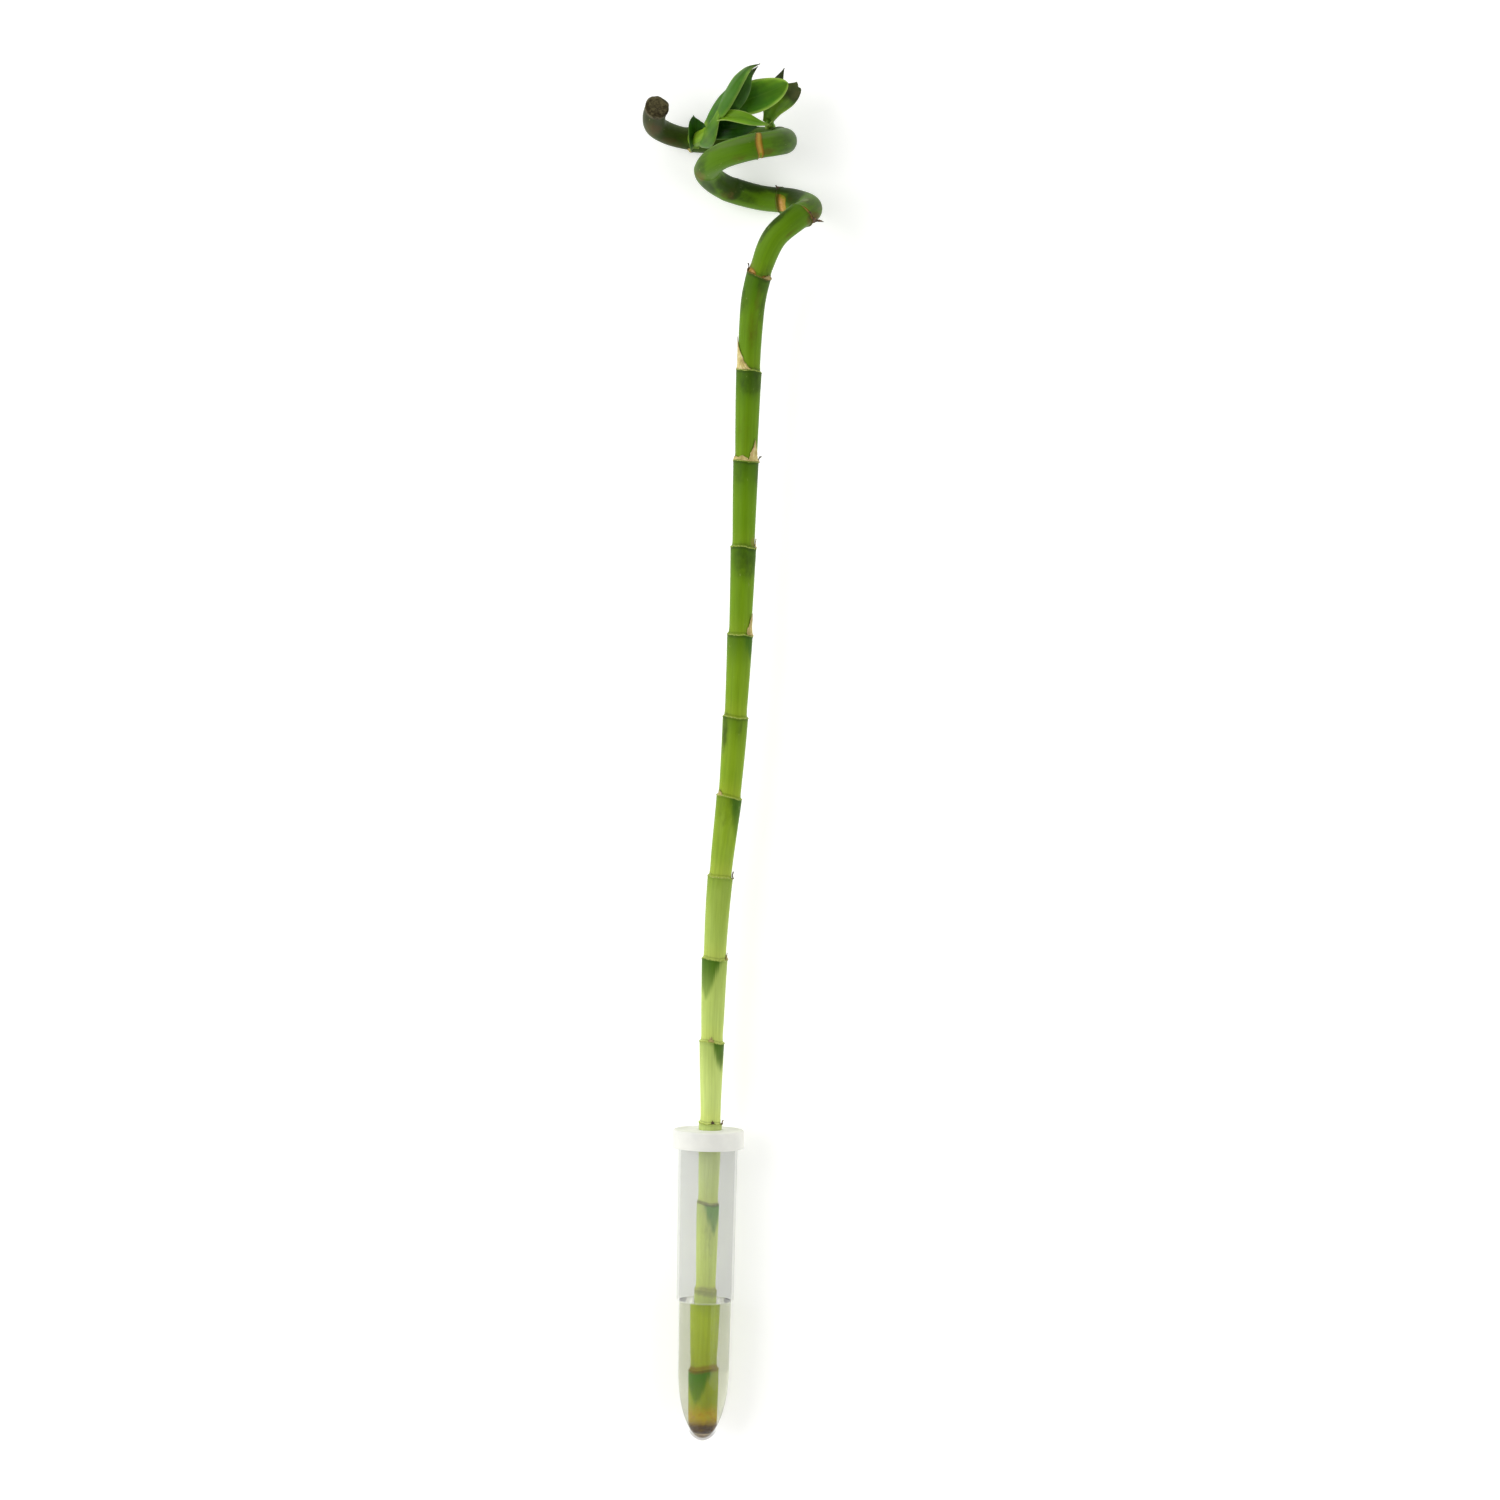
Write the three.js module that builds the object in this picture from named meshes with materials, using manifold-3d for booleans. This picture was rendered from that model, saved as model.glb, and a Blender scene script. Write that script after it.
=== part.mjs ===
// A spiral-trained lucky bamboo cane with two leafy side shoots, in its capped flower tube.
// All sizes are in millimetres. The plant lies on a table: +Y runs from the tube's tip to the
// leaves, +X is to the right as seen from above, and +Z is up, away from the table.
import * as THREE from "three";
import { mergeVertices } from "three/addons/utils/BufferGeometryUtils.js";
import Module from "manifold-3d";

const wasm = await Module();
wasm.setup();

// Driving sizes: the flower tube
const TUBE_AXIS_HEIGHT = 12.7; // height of the tube's axis above the table
const TUBE_TIP_LENGTH = 26; // length of the tapered round tip
const TUBE_TIP_RADIUS = 10.3; // outer radius where the tip meets the barrel
const TUBE_MOUTH_RADIUS = 10.85; // outer radius of the barrel under the cap
const TUBE_BEAD_RADIUS = 11.4; // the bead round the mouth that the cap snaps over
const TUBE_BEAD_LENGTH = 2.4;
const TUBE_LENGTH = 111.8;
const TUBE_WALL = 0.9;
const TUBE_SIDES = 36;

// Driving sizes: the snap cap
const CAP_RADIUS = 13;
const CAP_INNER_RADIUS = 11.75;
const CAP_SKIRT_BOTTOM = 106.7; // measured along the tube from its tip
const CAP_TOP = 113.4;
const CAP_PLATE = 1.3; // thickness of the top
const CAP_EDGE = 0.5; // bevel of the outer edges

// Driving sizes: the gel in the tube
const GEL_LEVEL = 51; // where its surface stands, along the tube from its tip
const GEL_RISE = 0.9; // how far it creeps up the tube's wall
const GEL_SIDES = 24;

// Driving sizes: the cane
const CANE_SIDES = 18;
const CANE_TOP_RADIUS = 4.65; // just below a ring, the widest place of each joint
const CANE_FOOT_RADIUS = 3.9; // just above a ring, the narrowest place
const COIL_RADIUS = 4.7; // the cane's own radius in the coil
const END_RADIUS = 3.95; // the last stretch, past the front shoot
const RIM_HEIGHT = { straight: 0.35, coil: 0.55 }; // how far the torn rim of a sheath stands out
const RIM_WAVE = 0.35; // how far the rim wanders along the cane
const ROW_STEP = { straight: 9, coil: 3.4 }; // longest stretch between two rows of points
const FIT = 0.3; // clearance between neighbouring pieces
const CANE_IN_CAP_SLIMMING = 0.9; // the joints in the tube are a little slimmer

// The cane's centre line: across, along, height above the table.
const CANE_LINE = [
  [0, 5.5, 12.7], // cut end in the tube
  [0, 40, 12.7],
  [0.3, 80, 12.7],
  [0.6, 113, 12.9], // through the cap
  [0.6, 145, 13.5],
  [1.2, 183, 14.5],
  [2.5, 207, 15],
  [5.5, 240, 16],
  [7.3, 277, 17],
  [8.2, 312, 17.8],
  [8.6, 351, 19],
  [9.0, 385, 20],
  [9.5, 405, 21],
  [10.4, 416, 22.6], // the cane leaves the straight line here
  [13.0, 426.5, 26.3],
  [17.5, 436.5, 30.6],
  [24.9, 443.3, 30.6],
  [29.9, 447.8, 23.4], // first turn, right
  [24.3, 452.6, 10.2],
  [11.2, 454.9, 4.5], // lowest, lies on the table
  [-1.8, 457.8, 10],
  [-7.5, 461.2, 22.5], // left
  [-2.6, 464.2, 34],
  [7.2, 466.7, 39], // highest
  [16.2, 469.4, 34],
  [20.2, 472.3, 23.4], // second turn, right
  [16.0, 474.9, 10.5],
  [4.5, 476.3, 4.5], // lowest, lies on the table
  [-9.5, 475.4, 4.5],
  [-19.5, 476.4, 6.4],
  [-26.2, 478.4, 12.2], // left
  [-27.2, 480.6, 19.6],
  [-25.8, 483.4, 26.6], // cut end
];
const COIL_START = 425; // along the cane, where the straight part ends

// Rings of the cane, measured along it from the cut end in the tube. The last eight are in
// the coil. tilt is how far the ring leans along the cane, and side is the angle of its
// high point, counted from the top of the cane, in degrees.
const RINGS = [
  { at: 21, tilt: 0.5, side: 90 },
  { at: 49.7, tilt: 0.4, side: 250 },
  { at: 81.2, tilt: 0.5, side: 260 },
  { at: 110.3, tilt: 0.3, side: 270 },
  { at: 140, tilt: 0.4, side: 280 },
  { at: 170.3, tilt: 0.3, side: 260 },
  { at: 200.2, tilt: 0.3, side: 290 },
  { at: 229.6, tilt: 0.5, side: 270 },
  { at: 258.7, tilt: 0.3, side: 250 },
  { at: 288.5, tilt: 0.3, side: 270 },
  { at: 320.3, tilt: 0.4, side: 300 },
  { at: 351.4, tilt: 0.3, side: 290 },
  { at: 384.2, tilt: 0.4, side: 280 },
  { at: 419.6, tilt: 0.5, side: 270 },
  { at: 447.6, tilt: 1.4, side: 120 },
  { at: 476, tilt: 0.6, side: 20 },
  { at: 496.5, tilt: 1.5, side: 150 },
  { at: 514.5, tilt: 1.2, side: 150 },
  { at: 541.9, tilt: 1.4, side: 300 },
  { at: 569.5, tilt: 1.2, side: 60 },
  { at: 587, tilt: 1, side: 200 },
  { at: 607.5, tilt: 0.8, side: 20 },
];

const LAST_RING = RINGS.at(-1).at;

const up = new THREE.Vector3(0, 0, 1);
const degrees = THREE.MathUtils.degToRad;
const mix = THREE.MathUtils.lerp;
const step = THREE.MathUtils.smoothstep;

// The centre line as evenly spaced points, each with its direction and two sides.
// The first side starts at the top of the cane and is carried along without twist.
const FINE_STEPS = 1300;

function followLine(points) {
  const vectors = points.map((p) => new THREE.Vector3(...p));
  const curve = new THREE.CatmullRomCurve3(vectors, false, "centripetal");
  curve.arcLengthDivisions = FINE_STEPS * 2;
  const spots = curve.getSpacedPoints(FINE_STEPS);
  const length = curve.getLength();
  const frames = [];
  let high = up.clone();
  spots.forEach((spot, i) => {
    const before = spots[Math.max(i - 1, 0)];
    const after = spots[Math.min(i + 1, FINE_STEPS)];
    const along = after.clone().sub(before).normalize();
    high = high.clone().addScaledVector(along, -high.dot(along)).normalize();
    frames.push({ spot, along, high, right: along.clone().cross(high) });
  });
  const at = (distance) => {
    const index = Math.round((distance / length) * FINE_STEPS);
    return frames[THREE.MathUtils.clamp(index, 0, FINE_STEPS)];
  };
  return { length, at };
}

// A closed skin over rows of points: each row is a closed loop with the same count of points.
function skin(rows, endCaps) {
  const count = rows[0].length;
  const places = rows.flat();
  const faces = [];
  const quad = (a, b, c, d) => faces.push(a, b, c, a, c, d);
  for (let i = 0; i < rows.length - 1; i++) {
    for (let j = 0; j < count; j++) {
      const next = (j + 1) % count;
      const low = i * count;
      const top = low + count;
      // A blade's under side is split the same way as its upper side.
      if (endCaps === "blade" && j >= count / 2) {
        quad(low + next, top + next, top + j, low + j);
      } else {
        quad(low + j, low + next, top + next, top + j);
      }
    }
  }
  const last = (rows.length - 1) * count;
  if (endCaps === "blade") {
    for (let j = 0; j < count / 2 - 1; j++) {
      const other = count - 1 - j;
      quad(j, other, other - 1, j + 1);
      quad(last + j, last + j + 1, last + other - 1, last + other);
    }
  } else {
    for (const [start, flip] of [[0, true], [last, false]]) {
      const row = places.slice(start, start + count);
      const middle = new THREE.Vector3();
      row.forEach((p) => middle.addScaledVector(p, 1 / count));
      places.push(middle);
      for (let j = 0; j < count; j++) {
        const next = start + ((j + 1) % count);
        const pair = flip ? [next, start + j] : [start + j, next];
        faces.push(places.length - 1, ...pair);
      }
    }
  }
  const geometry = new THREE.BufferGeometry().setFromPoints(places);
  geometry.setIndex(faces);
  return geometry;
}

// Solids for cutting and joining
function solidOf(geometry) {
  const bare = geometry.clone();
  bare.deleteAttribute("normal");
  bare.deleteAttribute("uv");
  const merged = mergeVertices(bare, 1e-4);
  return new wasm.Manifold(
    new wasm.Mesh({
      numProp: 3,
      vertProperties: merged.attributes.position.array,
      triVerts: new Uint32Array(merged.index.array),
    }),
  );
}

function geometryOf(solid) {
  const mesh = solid.getMesh();
  const geometry = new THREE.BufferGeometry();
  geometry.setAttribute("position", new THREE.BufferAttribute(mesh.vertProperties, 3));
  geometry.setIndex(new THREE.BufferAttribute(mesh.triVerts, 1));
  geometry.computeVertexNormals();
  return geometry;
}

// The largest body of a solid: cutting can leave loose crumbs.
function largestBody(solid) {
  return solid.decompose().sort((a, b) => b.volume() - a.volume())[0];
}

// The space above the table, so that what rests on it gets a small flat spot
const SPACE = 1200;
const aboveTable = solidOf(
  new THREE.BoxGeometry(SPACE, SPACE, SPACE).translate(0, 0, SPACE / 2),
);

// The cane
const caneLine = followLine(CANE_LINE);
const CANE_LENGTH = caneLine.length;

// Radius of the cane between the ring below and the ring above.
function plainRadius(distance) {
  const above = RINGS.find((ring) => ring.at > distance);
  const below = RINGS.filter((ring) => ring.at <= distance).at(-1);
  const start = below ? below.at : -10;
  const end = above ? above.at : CANE_LENGTH + 10;
  const share = (distance - start) / (end - start);
  const inTube = 1 - step(distance, 112, 150);
  const inCoil = step(distance, COIL_START - 10, COIL_START + 25);
  const atEnd = step(distance, LAST_RING - 4, LAST_RING + 6);
  const straight = mix(CANE_FOOT_RADIUS, CANE_TOP_RADIUS, share ** 0.8);
  const slim = mix(straight, straight * CANE_IN_CAP_SLIMMING, inTube);
  const coiled = mix(slim, COIL_RADIUS - 0.2 * (1 - share), inCoil);
  return mix(coiled, END_RADIUS + 0.3 * share, atEnd);
}

// The two cut ends: distance from the end of the line, and share of the cane's radius there
const FOOT_EDGE = [[-2.1, 0.45], [-1.3, 0.87], [-0.4, 0.98]];
const SEAL_EDGE = [[-1.1, 1.05], [-0.3, 0.86], [0.1, 0.5]];

// A loop of points beyond a place on the cane; lump is how uneven it is at each angle.
function endLoop(distance, offset, radius, lump) {
  const frame = caneLine.at(distance);
  const loop = [];
  for (let j = 0; j < CANE_SIDES; j++) {
    const angle = (j / CANE_SIDES) * Math.PI * 2;
    loop.push(
      frame.spot
        .clone()
        .addScaledVector(frame.along, offset)
        .addScaledVector(frame.high, radius * lump(angle) * Math.cos(angle))
        .addScaledVector(frame.right, radius * lump(angle) * Math.sin(angle)),
    );
  }
  return loop;
}

// Rows of points round each ring: distance from it, and how much of the rim's height there.
const RIM_ROWS = [
  [-2.2, 0],
  [-0.7, 0.35],
  [0, 1],
  [0.35, 0.25],
  [1.6, 0],
];

function caneRows(grow) {
  const rows = [];
  const stops = [];
  RINGS.forEach((ring, index) => {
    RIM_ROWS.forEach(([offset, lift]) => {
      stops.push({ at: ring.at + offset, lift, ring, index, lean: 1 });
    });
  });
  stops.unshift({ at: 0, lift: 0, index: 0, lean: 0 });
  stops.push({ at: CANE_LENGTH - 1.8, lift: 0, index: 0, lean: 0 });
  for (let i = 0; i < stops.length - 1; i++) {
    rows.push(stops[i]);
    const gap = stops[i + 1].at - stops[i].at;
    const longest = stops[i].at > COIL_START - 20 ? ROW_STEP.coil : ROW_STEP.straight;
    const extra = Math.ceil(gap / longest) - 1;
    for (let k = 1; k <= extra; k++) {
      const share = k / (extra + 1);
      const near = share < 0.5 ? stops[i] : stops[i + 1];
      const fade = Math.abs(share - 0.5) * 2;
      const lean = near.lean * fade * fade;
      rows.push({ at: stops[i].at + gap * share, lift: 0, ring: near.ring, index: near.index, lean });
    }
  }
  rows.push(stops.at(-1));
  const loops = rows.map(({ at, lift, ring, index, lean }) => {
    const loop = [];
    for (let j = 0; j < CANE_SIDES; j++) {
      const angle = (j / CANE_SIDES) * Math.PI * 2;
      let shift = 0;
      if (ring) {
        shift = ring.tilt * Math.cos(angle - degrees(ring.side));
        shift += RIM_WAVE * Math.sin(3 * angle + index * 2.1);
      }
      const place = THREE.MathUtils.clamp(at + shift * lean, 0, CANE_LENGTH);
      const frame = caneLine.at(place);
      const ragged = 1 + 0.45 * Math.sin(5 * angle + index * 1.7);
      const rim = at > COIL_START - 20 ? RIM_HEIGHT.coil : RIM_HEIGHT.straight;
      const radius = plainRadius(at) + rim * lift * ragged + grow;
      loop.push(
        frame.spot
          .clone()
          .addScaledVector(frame.high, radius * Math.cos(angle))
          .addScaledVector(frame.right, radius * Math.sin(angle)),
      );
    }
    return loop;
  });
  // The lower cut end has a soft edge, and the upper one is a corky, slightly domed seal.
  const foot = FOOT_EDGE.map(([offset, share]) => {
    return endLoop(0, offset - grow, plainRadius(0) * share + grow, () => 1);
  });
  const seal = SEAL_EDGE.map(([offset, share], row) => {
    const lump = (angle) => 1 + 0.05 * Math.sin(4 * angle + row * 2) + 0.03 * Math.sin(7 * angle);
    return endLoop(CANE_LENGTH, offset, (END_RADIUS + 0.3) * share + grow, lump);
  });
  return [...foot, ...loops, ...seal];
}

// A leaf blade. line is its middle line, face is where its inner side looks at the foot and
// at the tip, curl is the angle of its rolled cross-section at the foot and at the tip.
const BLADE_THICKNESS = 0.7;

function blade({ line, face, curl, width, foot, fullest, across = 4, along = 12 }) {
  const points = line.map((p) => new THREE.Vector3(...p));
  const curve = new THREE.CatmullRomCurve3(points, false, "centripetal");
  const faces = face.map((v) => new THREE.Vector3(...v).normalize());
  const rows = [];
  for (let i = 0; i <= along; i++) {
    const share = i / along;
    const spot = curve.getPointAt(share);
    const tangent = curve.getTangentAt(share);
    const normal = faces[0].clone().lerp(faces[1], share);
    normal.addScaledVector(tangent, -normal.dot(tangent)).normalize();
    const side = tangent.clone().cross(normal);
    // Width: it grows from the foot to its fullest place and ends in a point.
    const rise = Math.sin((Math.min(share / fullest, 1) * Math.PI) / 2);
    const fall = Math.cos((Math.max((share - fullest) / (1 - fullest), 0) * Math.PI) / 2);
    const half = (width / 2) * mix(foot, 1, rise) * Math.max(fall ** 1.15, 0.06);
    const roll = degrees(mix(curl[0], curl[1], Math.min(share * 1.6, 1)));
    const bend = half / (roll / 2);
    const row = [];
    const point = (v, offset) => {
      const angle = (v * roll) / 2;
      const reach = bend + offset;
      return spot
        .clone()
        .addScaledVector(side, reach * Math.sin(angle))
        .addScaledVector(normal, bend - reach * Math.cos(angle));
    };
    for (let j = 0; j <= across; j++) row.push(point((j / across) * 2 - 1, -BLADE_THICKNESS / 2));
    for (let j = across; j >= 0; j--) row.push(point((j / across) * 2 - 1, BLADE_THICKNESS / 2));
    rows.push(row);
  }
  return solidOf(skin(rows, "blade"));
}

// Torn points of old sheaths that stand off a ring: where, at which angle, how long and how far out
const SPURS = [
  { at: 110.8, side: 80, length: 1.4, lift: 0.8 },
  { at: 351.8, side: 95, length: 2, lift: 1.3 },
  { at: 419.8, side: 275, length: 1.8, lift: 0.6 },
  { at: 448, side: 54, length: 3, lift: 1.5 },
  { at: 476.2, side: 215, length: 2.2, lift: 1 },
  { at: 542.2, side: 330, length: 1.8, lift: 0.7 },
];
const SPUR_WIDTH = 2.2;

function spur({ at, side, length, lift }) {
  const angle = degrees(side);
  const place = (distance, out) => {
    const frame = caneLine.at(distance);
    const radius = plainRadius(distance) + out;
    return frame.spot
      .clone()
      .addScaledVector(frame.high, radius * Math.cos(angle))
      .addScaledVector(frame.right, radius * Math.sin(angle))
      .toArray();
  };
  const root = caneLine.at(at);
  const inward = root.high
    .clone()
    .multiplyScalar(-Math.cos(angle))
    .addScaledVector(root.right, -Math.sin(angle))
    .toArray();
  return blade({
    line: [place(at - 1.2, -0.5), place(at + length * 0.4, 0.3), place(at + length, lift)],
    face: [inward, inward],
    curl: [50, 30],
    width: SPUR_WIDTH,
    foot: 1,
    fullest: 0.2,
    across: 2,
    along: 4,
  });
}

// A tapered round stem along a line
function stem({ line, radii, sides = 12, along = 8 }) {
  const route = followLine(line);
  const rows = [];
  for (let i = 0; i <= along; i++) {
    const share = i / along;
    const frame = route.at(share * route.length);
    const radius = mix(radii[0], radii[1], share);
    const row = [];
    for (let j = 0; j < sides; j++) {
      const angle = (j / sides) * Math.PI * 2;
      row.push(
        frame.spot
          .clone()
          .addScaledVector(frame.high, radius * Math.cos(angle))
          .addScaledVector(frame.right, radius * Math.sin(angle)),
      );
    }
    rows.push(row);
  }
  return solidOf(skin(rows, "round"));
}

// Front shoot: a short stem that bends to the right, with its leaves from the outermost in
const FRONT_STEM = {
  line: [
    [-12.2, 475.4, 8.5],
    [-10.6, 475.2, 13.5],
    [-7.9, 476.6, 19],
    [-5.1, 479, 24],
    [-3.0, 481, 27],
  ],
  radii: [3.2, 2],
};
const FRONT_LEAVES = {
  bract: {
    line: [[-13.6, 471.7, 8.4], [-13.4, 474.4, 12], [-13.2, 477.9, 14.3], [-13.3, 482.4, 14.6]],
    face: [[0.35, 0.1, 0.9], [0.45, 0.1, 0.8]],
    curl: [130, 110],
    width: 7.4,
    foot: 0.6,
    fullest: 0.74,
  },
  hood: {
    line: [
      [-12.6, 475, 11.5],
      [-10.8, 475.8, 17.5],
      [-8, 477.6, 23.5],
      [-5, 480.4, 28.2],
      [-3.2, 482.6, 30],
    ],
    face: [[0.3, -0.2, -0.9], [0.35, -0.35, -0.85]],
    curl: [250, 120],
    width: 16.5,
    foot: 0.82,
    fullest: 0.3,
    across: 8,
  },
  long_leaf: {
    line: [[-6.4, 478.8, 24], [-0.8, 479.6, 29], [4.6, 478.8, 31], [9.8, 477.4, 31], [15.5, 476.8, 28.5]],
    face: [[-0.1, 0.4, 0.85], [0.1, 0.3, 0.95]],
    curl: [150, 50],
    width: 5,
    foot: 0.7,
    fullest: 0.45,
  },
  lower_leaf: {
    line: [[-8, 475.4, 17], [-1.8, 476.4, 21], [4.6, 477, 22], [10.8, 477.8, 20]],
    face: [[0, 0.3, 1], [0, 0.2, 1]],
    curl: [120, 60],
    width: 10.4,
    foot: 0.6,
    fullest: 0.45,
  },
  broad_leaf: {
    line: [[-2.6, 482.4, 21], [5.6, 486.1, 24.4], [13.7, 489.2, 26], [21.1, 493, 25]],
    face: [[0, 0.1, 1], [0, -0.1, 1]],
    curl: [120, 50],
    width: 10.8,
    foot: 0.4,
    fullest: 0.6,
  },
  inner_leaf: {
    line: [[-2.4, 480.8, 25], [2, 485.2, 28.8], [4.7, 489.8, 29.8], [6.4, 494.2, 29], [10.2, 498.4, 26.5]],
    face: [[0.3, -0.2, -0.9], [0.2, -0.4, -0.9]],
    curl: [150, 60],
    width: 6.6,
    foot: 0.7,
    fullest: 0.4,
  },
  tall_leaf: {
    line: [
      [-5.6, 479.2, 25.5],
      [-2.4, 483.6, 31.2],
      [0.4, 488, 33.5],
      [3.8, 493.3, 33],
      [6.8, 496.8, 31],
      [10.9, 499, 28],
    ],
    face: [[0.5, -0.3, -0.8], [0.3, -0.3, -0.9]],
    curl: [170, 60],
    width: 6.8,
    foot: 0.7,
    fullest: 0.36,
  },
  side_leaf: {
    line: [[-8.6, 478.4, 21.5], [-5.6, 483, 27], [-2.9, 487.5, 28.8], [-0.2, 492.8, 27]],
    face: [[0.8, -0.2, -0.4], [0.7, -0.3, -0.6]],
    curl: [170, 70],
    width: 6,
    foot: 0.8,
    fullest: 0.35,
  },
};

// Back shoot
const BACK_STEM = {
  line: [
    [15.2, 478.2, 9.5],
    [14.8, 480.6, 13],
    [14.3, 482.6, 15],
  ],
  radii: [2.6, 1.9],
};
const BACK_LEAVES = {
  sheath: {
    line: [[15.3, 477.8, 9.6], [15, 480.1, 12.4], [14.6, 482.4, 14.8]],
    face: [[-0.3, 0.8, -0.6], [-0.3, 0.8, -0.6]],
    curl: [300, 280],
    width: 14,
    foot: 0.9,
    fullest: 0.3,
    across: 8,
    along: 6,
  },
  boat_leaf: {
    line: [
      [14.8, 480.2, 12.8],
      [17.2, 483.8, 17.5],
      [20, 487.4, 20],
      [22.8, 491.4, 19.5],
      [23.9, 495.8, 17],
    ],
    face: [[-0.4, 0.3, 0.85], [-0.3, 0.3, 0.9]],
    curl: [150, 90],
    width: 8.6,
    foot: 0.55,
    fullest: 0.76,
  },
  upright_leaf: {
    line: [[14.2, 480.6, 12.5], [14.6, 487.6, 14], [16.6, 493.9, 14.5], [19.8, 500.8, 13]],
    face: [[0.2, -0.1, -0.9], [0.2, -0.2, -0.9]],
    curl: [170, 60],
    width: 6.6,
    foot: 0.7,
    fullest: 0.45,
  },
};

function leafyShoot(stemSizes, leaves) {
  let solid = stem(stemSizes);
  for (const leaf of Object.values(leaves)) solid = solid.add(blade(leaf));
  return solid;
}

// Pieces of revolution round the tube's axis, which lies along Y
function turned(profile, sides) {
  const points = profile.map(([radius, along]) => new THREE.Vector2(radius, along));
  return new THREE.LatheGeometry(points, sides).translate(0, 0, TUBE_AXIS_HEIGHT);
}

// Outer radius of the tube at a distance from its tip
function tubeRadius(along) {
  if (along >= TUBE_TIP_LENGTH) {
    const share = (along - TUBE_TIP_LENGTH) / (TUBE_LENGTH - TUBE_TIP_LENGTH);
    return mix(TUBE_TIP_RADIUS, TUBE_MOUTH_RADIUS, share);
  }
  return TUBE_TIP_RADIUS * Math.sqrt(1 - (1 - along / TUBE_TIP_LENGTH) ** 2);
}

// Profile of the round tip from the axis outwards, shrunk by a wall
function tipProfile(inset, steps) {
  const profile = [[0, inset]];
  for (let i = 1; i <= steps; i++) {
    const angle = (i / steps) * (Math.PI / 2);
    profile.push([
      (TUBE_TIP_RADIUS - inset) * Math.sin(angle),
      TUBE_TIP_LENGTH - (TUBE_TIP_LENGTH - inset) * Math.cos(angle),
    ]);
  }
  return profile;
}

const TIP_STEPS = 7;
const beadStart = TUBE_LENGTH - TUBE_BEAD_LENGTH;
const tubeGeometry = turned(
  [
    ...tipProfile(0, TIP_STEPS),
    [tubeRadius(beadStart), beadStart],
    [TUBE_BEAD_RADIUS, beadStart + 0.6],
    [TUBE_BEAD_RADIUS, TUBE_LENGTH],
    [TUBE_MOUTH_RADIUS - TUBE_WALL, TUBE_LENGTH],
    ...tipProfile(TUBE_WALL, TIP_STEPS).reverse(),
  ],
  TUBE_SIDES,
);

const capGeometry = turned(
  [
    [0, CAP_TOP - CAP_PLATE],
    [CAP_INNER_RADIUS, CAP_TOP - CAP_PLATE],
    [CAP_INNER_RADIUS, CAP_SKIRT_BOTTOM],
    [CAP_RADIUS - CAP_EDGE * 0.6, CAP_SKIRT_BOTTOM],
    [CAP_RADIUS, CAP_SKIRT_BOTTOM + CAP_EDGE],
    [CAP_RADIUS, CAP_TOP - CAP_EDGE],
    [CAP_RADIUS - CAP_EDGE, CAP_TOP],
    [0, CAP_TOP],
  ],
  TUBE_SIDES,
);

const gelInset = TUBE_WALL + FIT;
const gelRadius = tubeRadius(GEL_LEVEL) - gelInset;
const gelGeometry = turned(
  [
    ...tipProfile(gelInset, TIP_STEPS),
    [gelRadius, GEL_LEVEL + GEL_RISE],
    [gelRadius - 0.6, GEL_LEVEL + GEL_RISE * 0.35],
    [gelRadius - 1.6, GEL_LEVEL],
    [0, GEL_LEVEL],
  ],
  GEL_SIDES,
);

// Join, cut and clear the pieces from each other
let cane = solidOf(skin(caneRows(0), "round"));
for (const place of SPURS) cane = cane.add(spur(place));
const caneClearance = solidOf(skin(caneRows(FIT), "round"));
const frontShoot = leafyShoot(FRONT_STEM, FRONT_LEAVES).subtract(caneClearance);
const backShoot = leafyShoot(BACK_STEM, BACK_LEAVES).subtract(caneClearance);

const solids = {
  bamboo_cane: cane.intersect(aboveTable),
  leafy_shoot_front: largestBody(frontShoot),
  leafy_shoot_back: largestBody(backShoot),
  flower_tube: solidOf(tubeGeometry),
  tube_cap: solidOf(capGeometry).subtract(caneClearance).intersect(aboveTable),
  water_gel: largestBody(solidOf(gelGeometry).subtract(caneClearance)),
};

// Colours and surfaces
const looks = {
  bamboo_cane: { color: "#5c8a22", roughness: 0.42, metalness: 0 },
  leafy_shoot_front: { color: "#4c8a1a", roughness: 0.4, metalness: 0 },
  leafy_shoot_back: { color: "#3f7519", roughness: 0.4, metalness: 0 },
  flower_tube: { color: "#e4e8e6", roughness: 0.45, metalness: 0 },
  tube_cap: { color: "#eef0ee", roughness: 0.5, metalness: 0 },
  water_gel: { color: "#dfe8cf", roughness: 0.15, metalness: 0 },
};

const plant = new THREE.Group();
plant.name = "lucky_bamboo";
for (const [name, solid] of Object.entries(solids)) {
  const mesh = new THREE.Mesh(
    geometryOf(solid),
    new THREE.MeshStandardMaterial(looks[name]),
  );
  mesh.name = name;
  plant.add(mesh);
}

// The frame's origin is on the table, under the middle of the plant's box.
const box = new THREE.Box3().setFromObject(plant);
const middle = box.getCenter(new THREE.Vector3());
for (const mesh of plant.children) mesh.position.set(-middle.x, -middle.y, -box.min.z);

export default plant;
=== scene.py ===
# %% [markdown]
# # A trained lucky bamboo in its flower tube
#
# The real thing is a living cane that was turned on its side again and again while it grew, so
# that its top winds like a corkscrew. It lies on a table with its foot in clear gel, in a frosted
# plastic flower tube with a white snap cap. This lesson dresses a finished solid model of it: the
# solid gives the sizes, and each piece here is a finer one in the same place.

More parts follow.
